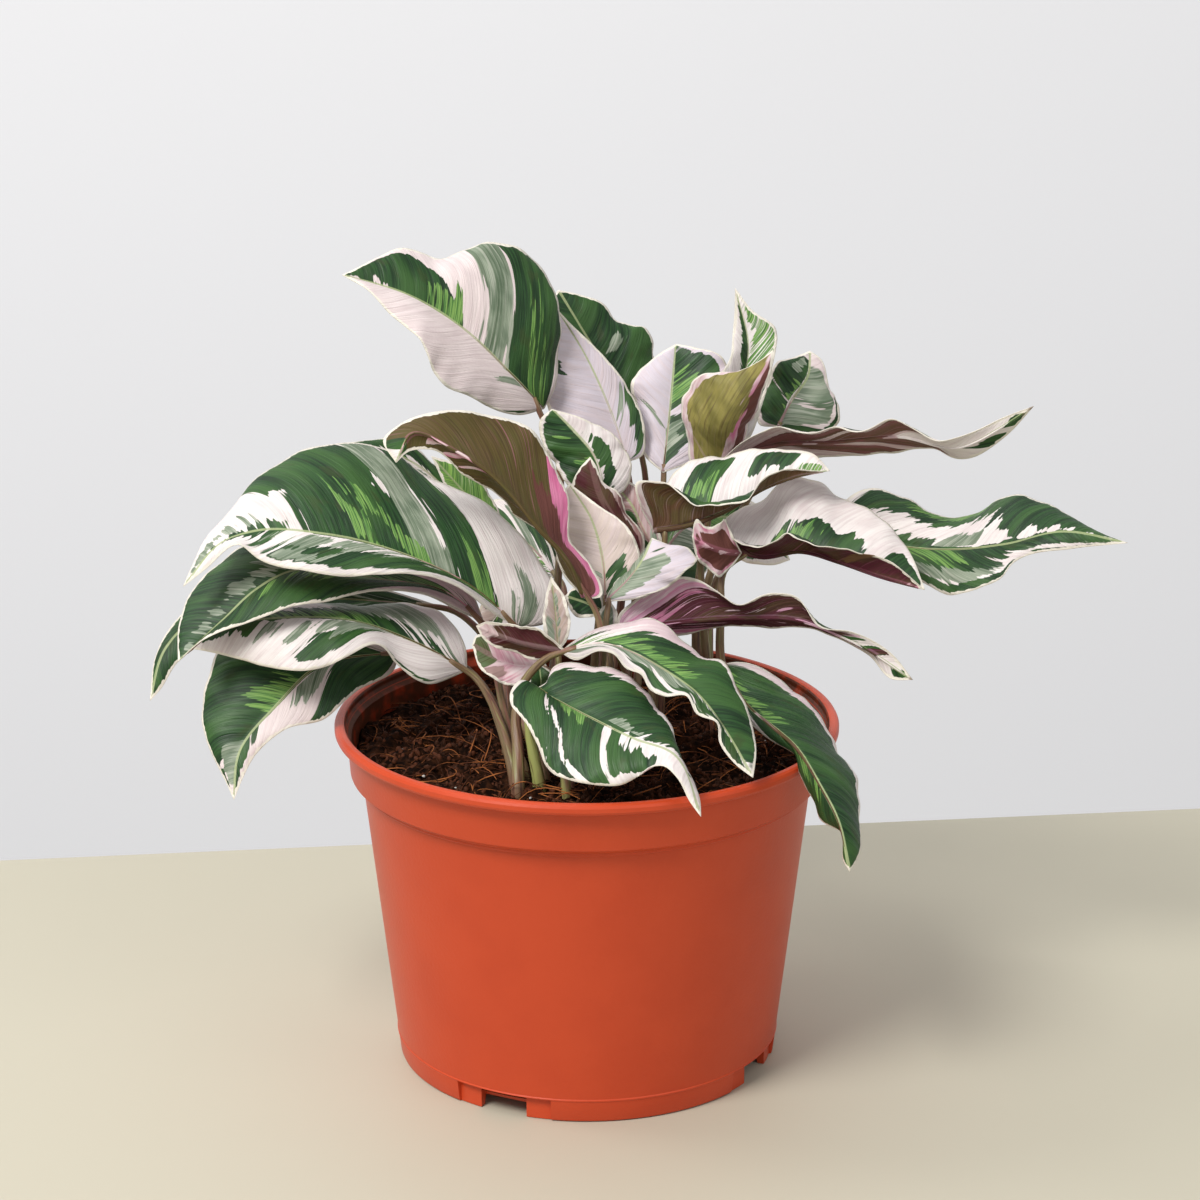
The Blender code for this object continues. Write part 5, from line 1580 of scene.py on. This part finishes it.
def make_leaf(node, leaf, seed, materials):
    """One leaf: blade, midrib, stalk and any second blade, in a single piece."""
    shape = PieceMesh()
    sheet = blade_sheet(leaf, PATCHES.get(node, FREE_PATCHES))
    shape.add_blade(sheet, seed, node in TURNED_OVER)
    rib, carried = rib_tube(sheet)
    shape.add_tube(rib, seed, UNDER_FACE, carried)
    if "lobe" in leaf:
        lobe = blade_sheet(leaf["lobe"], LOBE_PATCHES[node])
        lengthwise = node in LENGTHWISE_LOBES
        shape.add_blade(lobe, seed + LOBE_SEED_STEP, lengthwise, lengthwise)
    freshness = 1.0 if node in GREEN_STALKS else 0.0
    shape.add_tube(stalk_tube(leaf), seed, STALK_FACE, freshness=freshness)
    piece = shape.build(node + "_grown", materials, LEAF_FACES.get(node, USUAL_FACES))
    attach(piece, "root")
    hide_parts(node)
    return piece


def turned(name, profile, steps):
    """A closed solid turned from a profile that starts and ends on the axis."""
    points = [(0.0, 0.0, profile[0][1]), (0.0, 0.0, profile[-1][1])]
    ring = profile[1:-1]
    for step in range(steps):
        angle = 2 * math.pi * step / steps
        across, along = math.cos(angle), math.sin(angle)
        points += [(radius * across, radius * along, height) for radius, height in ring]
    faces = []
    for step in range(steps):
        here, there = 2 + step * len(ring), 2 + (step + 1) % steps * len(ring)
        faces.append((0, here, there))
        faces.append((1, there + len(ring) - 1, here + len(ring) - 1))
        for row in range(len(ring) - 1):
            faces.append((here + row, here + row + 1, there + row + 1, there + row))
    mesh = bpy.data.meshes.new(name)
    mesh.from_pydata([(x * MM, y * MM, z * MM) for x, y, z in points], [], faces)
    mesh.update()
    return mesh


def pot_profile():
    """The pot's section: inside floor, up the inner wall, over the lip and down to the foot."""
    lip_foot = POT_HEIGHT - LIP_HEIGHT
    inner_rim = RIM_RADIUS - LIP_WIDTH
    ledge = SHOULDER_RADIUS + LEDGE_WIDTH
    foot_inside = FOOT_RADIUS - FOOT_WIDTH
    slope = (SHOULDER_RADIUS - FOOT_RADIUS) / (SHOULDER_HEIGHT - 0.3 - 0.7)
    parting = FOOT_RADIUS + slope * (PARTING_HEIGHT - 0.7)
    # The small steps below are the roundings of each edge, in millimetres.
    return [
        (0.0, FLOOR), (PAD_RADIUS, FLOOR), (PAD_RADIUS + 2.0, FLOOR + CHANNEL_HEIGHT),
        (FOOT_RADIUS - WALL, FLOOR + CHANNEL_HEIGHT),
        (SHOULDER_RADIUS - WALL, SHOULDER_HEIGHT),
        (COLLAR_FOOT_RADIUS - WALL, COLLAR_FOOT_HEIGHT + ROUNDING),
        (COLLAR_TOP_RADIUS - WALL, lip_foot - 1.0), (inner_rim - 0.4, lip_foot + 0.6),
        (inner_rim, lip_foot + 1.4), (inner_rim, POT_HEIGHT - 0.9),
        (inner_rim + 0.3, POT_HEIGHT - 0.3), (inner_rim + 0.9, POT_HEIGHT),
        (RIM_RADIUS - 1.2, POT_HEIGHT), (RIM_RADIUS - 0.4, POT_HEIGHT - 0.35),
        (RIM_RADIUS, POT_HEIGHT - 1.1), (RIM_RADIUS, lip_foot + 1.3),
        (RIM_RADIUS - 0.3, lip_foot + 0.6), (RIM_RADIUS - 1.2, lip_foot + 0.1),
        (COLLAR_TOP_RADIUS + 0.2, lip_foot - 0.1), (COLLAR_TOP_RADIUS - 0.1, lip_foot - 0.8),
        (COLLAR_FOOT_RADIUS, COLLAR_FOOT_HEIGHT + 0.3),
        (COLLAR_FOOT_RADIUS - 0.15, COLLAR_FOOT_HEIGHT - 0.1),
        (COLLAR_FOOT_RADIUS - ROUNDING, COLLAR_FOOT_HEIGHT - 0.4),
        (ledge, SHOULDER_HEIGHT + LEDGE_HEIGHT),
        (ledge, SHOULDER_HEIGHT + 0.3), (ledge - 0.3, SHOULDER_HEIGHT),
        (SHOULDER_RADIUS + 0.1, SHOULDER_HEIGHT - 0.1), (SHOULDER_RADIUS, SHOULDER_HEIGHT - 0.5),
        (parting + 0.03, PARTING_HEIGHT + 0.5), (parting + 0.22, PARTING_HEIGHT + 0.2),
        (parting + 0.22, PARTING_HEIGHT - 0.1), (parting, PARTING_HEIGHT - 0.4),
        (FOOT_RADIUS, 0.7), (FOOT_RADIUS - 0.2, 0.2), (FOOT_RADIUS - 0.7, 0.0), (foot_inside, 0.0),
        (foot_inside - 0.8, CHANNEL_HEIGHT), (PAD_RADIUS + 3.0, CHANNEL_HEIGHT),
        (PAD_RADIUS + 1.0, 0.0), (0.0, 0.0),
    ]


def box_cutter(name, angle, width, height, depth):
    """A block that cuts into the pot's foot from outside, as deep as given."""
    radius = FOOT_RADIUS - depth + CUTTER_REACH / 2
    turn = math.radians(angle)
    bpy.ops.mesh.primitive_cube_add(size=1.0)
    cutter = bpy.context.object
    cutter.name = name
    cutter.scale = (width * MM, CUTTER_REACH * MM, 2 * height * MM)
    cutter.location = (radius * math.sin(turn) * MM, -radius * math.cos(turn) * MM, 0.0)
    cutter.rotation_euler = (0.0, 0.0, turn)
    return cutter


def recess_cutter(name, angle):
    """A curved block that makes the wall a little thinner to both sides of a notch."""
    half = RECESS_WIDTH / 2 / FOOT_RADIUS
    turns = math.radians(angle) + np.linspace(-half, half, RECESS_STEPS + 1)
    inner = FOOT_RADIUS - RECESS_DEPTH
    outer = inner + RECESS_REACH
    low, high = -RECESS_ABOVE, NOTCH_HEIGHT + RECESS_ABOVE
    section = ((inner, low), (outer, low), (outer, high), (inner, high))
    points = [(radius * math.sin(turn) * MM, -radius * math.cos(turn) * MM, height * MM)
              for turn in turns for radius, height in section]
    faces = [(0, 1, 2, 3), tuple(4 * RECESS_STEPS + corner for corner in (3, 2, 1, 0))]
    for step in range(RECESS_STEPS):
        for corner in range(4):
            after = (corner + 1) % 4
            here = 4 * step
            faces.append((here + after, here + corner, here + 4 + corner, here + 4 + after))
    mesh = bpy.data.meshes.new(name)
    mesh.from_pydata(points, [], faces)
    cutter = bpy.data.objects.new(name, mesh)
    bpy.context.scene.collection.objects.link(cutter)
    return cutter


def make_pot(material):
    """The pot, turned finely, with its four drain notches."""
    mesh = turned("pot_moulded", pot_profile(), POT_FINE_STEPS)
    pot = new_piece("pot_moulded", mesh, (material,))
    cutters = []
    for number, angle in enumerate(NOTCH_ANGLES):
        cutters.append(recess_cutter(f"recess_{number}", angle))
        cutters.append(box_cutter(f"notch_{number}", angle, NOTCH_WIDTH, NOTCH_HEIGHT, FOOT_WIDTH + WALL))
    for cutter in cutters:
        cut = pot.modifiers.new(cutter.name, "BOOLEAN")
        cut.object = cutter
        cut.operation = "DIFFERENCE"
    graph = bpy.context.evaluated_depsgraph_get()
    finished = bpy.data.meshes.new_from_object(pot.evaluated_get(graph))
    pot.modifiers.clear()
    pot.data = finished
    for cutter in cutters:
        bpy.data.objects.remove(cutter)
    finished.shade_smooth()
    finished.set_sharp_from_angle(angle=math.radians(POT_CREASE))
    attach(pot, "root")
    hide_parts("pot")
    return pot


def soil_roughness(x, y):
    """Small clods over the compost's top: many seeded ripples that cross each other."""
    chance = np.random.default_rng(CLOD_SEED)
    rough = np.zeros_like(x)
    for _ in range(CLOD_WAVES):
        turn = chance.uniform(0, 2 * math.pi)
        rate = 2 * math.pi / chance.uniform(*CLOD_LENGTHS)
        start = chance.uniform(0, 2 * math.pi)
        rough += np.sin(rate * (x * math.cos(turn) + y * math.sin(turn)) + start)
    return CLOD_HEIGHT * rough / math.sqrt(CLOD_WAVES)


def inner_radius(height):
    """The inner wall's radius at a height."""
    heights = (FLOOR + CHANNEL_HEIGHT, SHOULDER_HEIGHT, COLLAR_FOOT_HEIGHT + ROUNDING,
               POT_HEIGHT - LIP_HEIGHT - 1.0)
    outer = np.array([FOOT_RADIUS, SHOULDER_RADIUS, COLLAR_FOOT_RADIUS, COLLAR_TOP_RADIUS])
    return float(np.interp(height, heights, outer - WALL))


def make_soil(material):
    """The compost: a crumbly top and plain sides down to the pot's floor."""
    edge = inner_radius(SOIL_LEVEL) - SOIL_GAP
    rings = edge * (np.arange(1, SOIL_FINE_RINGS + 1) / SOIL_FINE_RINGS)
    turns = 2 * math.pi * np.arange(SOIL_FINE_STEPS) / SOIL_FINE_STEPS
    x = np.outer(rings, np.cos(turns))
    y = np.outer(rings, np.sin(turns))
    z = soil_height(x, y) + soil_roughness(x, y)
    crest = np.array([[0.0, 0.0, float(soil_height(0.0, 0.0))]])
    points = [crest, np.stack([x, y, z], axis=-1).reshape(-1, 3)]
    low = FLOOR + CHANNEL_HEIGHT + SOIL_GAP
    for height in (SHOULDER_HEIGHT, low):
        radius = inner_radius(height) - SOIL_GAP
        level = np.full(SOIL_FINE_STEPS, height)
        points.append(np.column_stack([radius * np.cos(turns), radius * np.sin(turns), level]))
    points.append(np.array([[0.0, 0.0, low]]))
    points = np.concatenate(points)
    bands = SOIL_FINE_RINGS + 2
    faces = []
    for turn in range(SOIL_FINE_STEPS):
        after = (turn + 1) % SOIL_FINE_STEPS
        faces.append((0, 1 + turn, 1 + after))
        for band in range(bands - 1):
            here, there = 1 + band * SOIL_FINE_STEPS, 1 + (band + 1) * SOIL_FINE_STEPS
            faces.append((here + turn, there + turn, there + after, here + after))
        last = 1 + (bands - 1) * SOIL_FINE_STEPS
        faces.append((last + turn, len(points) - 1, last + after))
    mesh = bpy.data.meshes.new("soil_compost")
    mesh.from_pydata((points * MM).tolist(), [], faces)
    mesh.shade_smooth()
    mesh.update()
    soil = new_piece("soil_compost", mesh, (material,))
    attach(soil, "root")
    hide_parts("soil")
    return soil


def litter_tree(name, variants, rest_tilt, material):
    """A node tree that strews small pieces over a surface and keeps them inside the pot."""
    tree = bpy.data.node_groups.new(name, "GeometryNodeTree")
    tree.interface.new_socket("Surface", in_out="INPUT", socket_type="NodeSocketGeometry")
    for label, kind in (("Pieces a square metre", "NodeSocketFloat"), ("Seed", "NodeSocketInt"),
                        ("Smallest", "NodeSocketFloat"), ("Largest", "NodeSocketFloat")):
        tree.interface.new_socket(label, in_out="INPUT", socket_type=kind)
    tree.interface.new_socket("Litter", in_out="OUTPUT", socket_type="NodeSocketGeometry")
    given = tree.nodes.new("NodeGroupInput").outputs
    points = add_node(tree, "GeometryNodeDistributePointsOnFaces", {
        "Mesh": given["Surface"],
        "Density": given["Pieces a square metre"],
        "Seed": given["Seed"],
    })
    shapes = add_node(tree, "GeometryNodeGeometryToInstance")
    for variant in variants:
        tree.links.new(variant(tree), shapes.inputs[0])
    turn = add_node(tree, "FunctionNodeRandomValue", {
        "Min": (-rest_tilt, -rest_tilt, 0.0),
        "Max": (rest_tilt, rest_tilt, 2 * math.pi),
        "Seed": given["Seed"],
    }, data_type="FLOAT_VECTOR")
    size = add_node(tree, "FunctionNodeRandomValue", {
        2: given["Smallest"],
        3: given["Largest"],
        "Seed": given["Seed"],
    }, data_type="FLOAT")
    strewn = add_node(tree, "GeometryNodeInstanceOnPoints", {
        "Points": points.outputs["Points"],
        "Instance": shapes.outputs[0],
        "Pick Instance": True,
        "Rotation": turn.outputs[0],
        "Scale": size.outputs[1],
    })
    solid = add_node(tree, "GeometryNodeRealizeInstances", {0: strewn.outputs[0]})
    place = add_node(tree, "GeometryNodeInputPosition").outputs[0]
    flat = add_node(tree, "ShaderNodeVectorMath", {0: place, 1: (1.0, 1.0, 0.0)}, operation="MULTIPLY")
    reach = add_node(tree, "ShaderNodeVectorMath", {0: flat.outputs[0]}, operation="LENGTH")
    ratio = calc(tree, "MAXIMUM", reach.outputs["Value"], MM)
    ratio = calc(tree, "MINIMUM", calc(tree, "DIVIDE", LITTER_REACH * MM, ratio), 1.0)
    pull = add_node(tree, "ShaderNodeCombineXYZ", {0: ratio, 1: ratio, 2: 1.0}).outputs[0]
    drawn_in = add_node(tree, "ShaderNodeVectorMath", {0: place, 1: pull}, operation="MULTIPLY")
    wanted = {"Geometry": solid.outputs[0], "Position": drawn_in.outputs[0]}
    moved = add_node(tree, "GeometryNodeSetPosition", wanted)
    wanted = {"Geometry": moved.outputs[0], "Material": material}
    coated = add_node(tree, "GeometryNodeSetMaterial", wanted)
    output = tree.nodes.new("NodeGroupOutput")
    tree.links.new(coated.outputs[0], output.inputs["Litter"])
    return tree


def fibre_variant(start, bend, end, thickness):
    """A maker of one curved fibre of unit length, lying along x."""
    def make(tree):
        wanted = {"Resolution": FIBRE_STEPS, "Start": start, "Middle": bend, "End": end}
        curve = add_node(tree, "GeometryNodeCurveQuadraticBezier", wanted)
        wanted = {"Resolution": FIBRE_SIDES, "Radius": thickness}
        section = add_node(tree, "GeometryNodeCurvePrimitiveCircle", wanted)
        return add_node(tree, "GeometryNodeCurveToMesh", {
            "Curve": curve.outputs[0],
            "Profile Curve": section.outputs[0],
            "Fill Caps": True,
        }).outputs[0]
    return make


def crumb_variant(size):
    """A maker of one crumb: a rough ball squashed to its own measures."""
    def make(tree):
        ball = add_node(tree, "GeometryNodeMeshIcoSphere", {"Radius": 1.0, "Subdivisions": 1})
        wanted = {"Geometry": ball.outputs[0], "Scale": size}
        return add_node(tree, "GeometryNodeTransform", wanted).outputs[0]
    return make


def strew(name, variants, material, surface):
    """A plain mesh of one kind of litter, strewn over a surface."""
    number, seed, smallest, largest, rest_tilt = LITTER[name]
    tree = litter_tree(name, variants, rest_tilt, material)
    values = {
        "Pieces a square metre": number,
        "Seed": seed,
        "Smallest": smallest * MM,
        "Largest": largest * MM,
    }
    host = bpy.data.objects.new(name + "_host", surface.data.copy())
    bpy.context.scene.collection.objects.link(host)
    grown = host.modifiers.new("Litter", "NODES")
    grown.node_group = tree
    names = {item.name: item.identifier for item in tree.interface.items_tree if item.in_out == "INPUT"}
    for label, value in values.items():
        grown[names[label]] = value
    graph = bpy.context.evaluated_depsgraph_get()
    mesh = bpy.data.meshes.new_from_object(host.evaluated_get(graph))
    host.modifiers.clear()
    bpy.data.objects.remove(host)
    mesh.name = name
    mesh.shade_smooth()
    piece = new_piece(name, mesh)
    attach(piece, "root")
    return piece


def top_patch():
    """The compost's top alone, a little in from the wall, for the litter to lie on."""
    steps = LITTER_GROUND_STEPS
    rings = LITTER_REACH * np.arange(1, LITTER_GROUND_RINGS + 1) / LITTER_GROUND_RINGS
    turns = 2 * math.pi * np.arange(steps) / steps
    x, y = np.outer(rings, np.cos(turns)), np.outer(rings, np.sin(turns))
    z = soil_height(x, y) + soil_roughness(x, y)
    points = np.stack([x, y, z], axis=-1).reshape(-1, 3)
    faces = []
    for ring in range(LITTER_GROUND_RINGS - 1):
        here, there = ring * steps, (ring + 1) * steps
        for turn in range(steps):
            after = (turn + 1) % steps
            faces.append((here + turn, there + turn, there + after, here + after))
    mesh = bpy.data.meshes.new("litter_ground")
    mesh.from_pydata((points * MM).tolist(), [], faces)
    return bpy.data.objects.new("litter_ground", mesh)


def make_litter():
    """Coir fibres, crumbs and a few white grains of perlite."""
    ground = top_patch()
    fibres = [fibre_variant(*form) for form in FIBRE_FORMS]
    crumbs = [crumb_variant(form) for form in CRUMB_FORMS]
    orange = make_fibre_material("coir_fibre_orange", FIBRE_ORANGE, FIBRE_BROWN)
    brown = make_fibre_material("coir_fibre_brown", FIBRE_BROWN, SOIL_BROWN)
    white = make_fibre_material("perlite", PERLITE_WHITE, PERLITE_GREY)
    strew("soil_fibres_orange", fibres, orange, ground)
    strew("soil_fibres_brown", fibres, brown, ground)
    strew("soil_crumbs", crumbs, brown, ground)
    strew("soil_perlite", crumbs, white, ground)
    bpy.data.objects.remove(ground)


def eye_place():
    """Where the eye is, in metres."""
    towards_eye = Vector((0.0, -math.cos(EYE_ELEVATION), math.sin(EYE_ELEVATION)))
    return Vector((0.0, 0.0, POT_HEIGHT * MM)) + EYE_DISTANCE * MM * towards_eye


def on_table(pixel_x, pixel_y):
    """The place on the table's top that is seen at a pixel, in metres."""
    eye = np.array(eye_place())
    seen = sight([(pixel_x, pixel_y)], 0.0)[0] * MM
    share = eye[2] / (eye[2] - seen[2])
    return eye + (seen - eye) * share


def make_stage():
    """A pale table with its far edge, and a plain grey surround."""
    left, right = on_table(*TABLE_EDGE_LEFT), on_table(*TABLE_EDGE_RIGHT)
    along = (right - left) / np.linalg.norm(right - left)
    far_left, far_right = left - along * TABLE_REACH, right + along * TABLE_REACH
    near_left = far_left + np.array([0.0, -TABLE_DEPTH, 0.0])
    near_right = far_right + np.array([0.0, -TABLE_DEPTH, 0.0])
    mesh = bpy.data.meshes.new("table")
    corners = [tuple(corner) for corner in (near_left, near_right, far_right, far_left)]
    mesh.from_pydata(corners, [], [(0, 1, 2, 3)])
    material, tree, shader = new_material("table_top")
    shader.inputs["Base Color"].default_value = (*TABLE_COLOUR, 1.0)
    shader.inputs["Roughness"].default_value = TABLE_ROUGHNESS
    table = new_piece("table", mesh, (material,))
    table.location.z = -TABLE_DROP
    mesh = bpy.data.meshes.new("wall")
    mesh.from_pydata([(x, WALL_PLACE, z) for x, z in WALL_CORNERS], [], [(0, 1, 2, 3)])
    material, tree, shader = new_material("wall_paint")
    shader.inputs["Base Color"].default_value = (*WALL_COLOUR, 1.0)
    shader.inputs["Roughness"].default_value = WALL_ROUGHNESS
    shader.inputs["Emission Color"].default_value = (*WALL_COLOUR, 1.0)
    shader.inputs["Emission Strength"].default_value = WALL_GLOW
    new_piece("wall", mesh, (material,))
    world = bpy.data.worlds.new("surround")
    world.use_nodes = True
    world.node_tree.nodes["Background"].inputs["Color"].default_value = (*WALL_COLOUR, 1.0)
    world.node_tree.nodes["Background"].inputs["Strength"].default_value = SURROUND_STRENGTH
    bpy.context.scene.world = world
    bpy.context.scene.view_settings.view_transform = "Standard"


def make_light(name, place, size, power, aimed_at, colour):
    """A round soft light that faces the place it is aimed at."""
    lamp = bpy.data.lights.new(name, "AREA")
    lamp.shape = "DISK"
    lamp.size = size
    lamp.energy = power
    lamp.color = colour
    light = bpy.data.objects.new(name, lamp)
    light.location = place
    aim = Vector(aimed_at) - Vector(place)
    light.rotation_euler = aim.to_track_quat("-Z", "Y").to_euler()
    bpy.context.scene.collection.objects.link(light)


def make_camera():
    """The camera, at the photograph's view."""
    lens = bpy.data.cameras.new("view")
    lens.sensor_width = SENSOR_WIDTH
    lens.lens = LENS_PIXELS / (2 * PICTURE_CENTRE) * lens.sensor_width
    camera = bpy.data.objects.new("view", lens)
    camera.location = eye_place()
    camera.rotation_euler = (math.pi / 2 - VIEW_PITCH, 0.0, -VIEW_YAW)
    bpy.context.scene.collection.objects.link(camera)
    bpy.context.scene.camera = camera


leaf_materials = (make_upper_material(), make_under_material(), make_stalk_material())
for number, (node, leaf) in enumerate(LEAVES.items()):
    make_leaf(node, leaf, LEAF_SEED_STEP * number, leaf_materials)
make_pot(make_pot_material())
make_soil(make_soil_material())
make_litter()
make_stage()
for name, values in LIGHTS.items():
    make_light(name, *values)
make_camera()
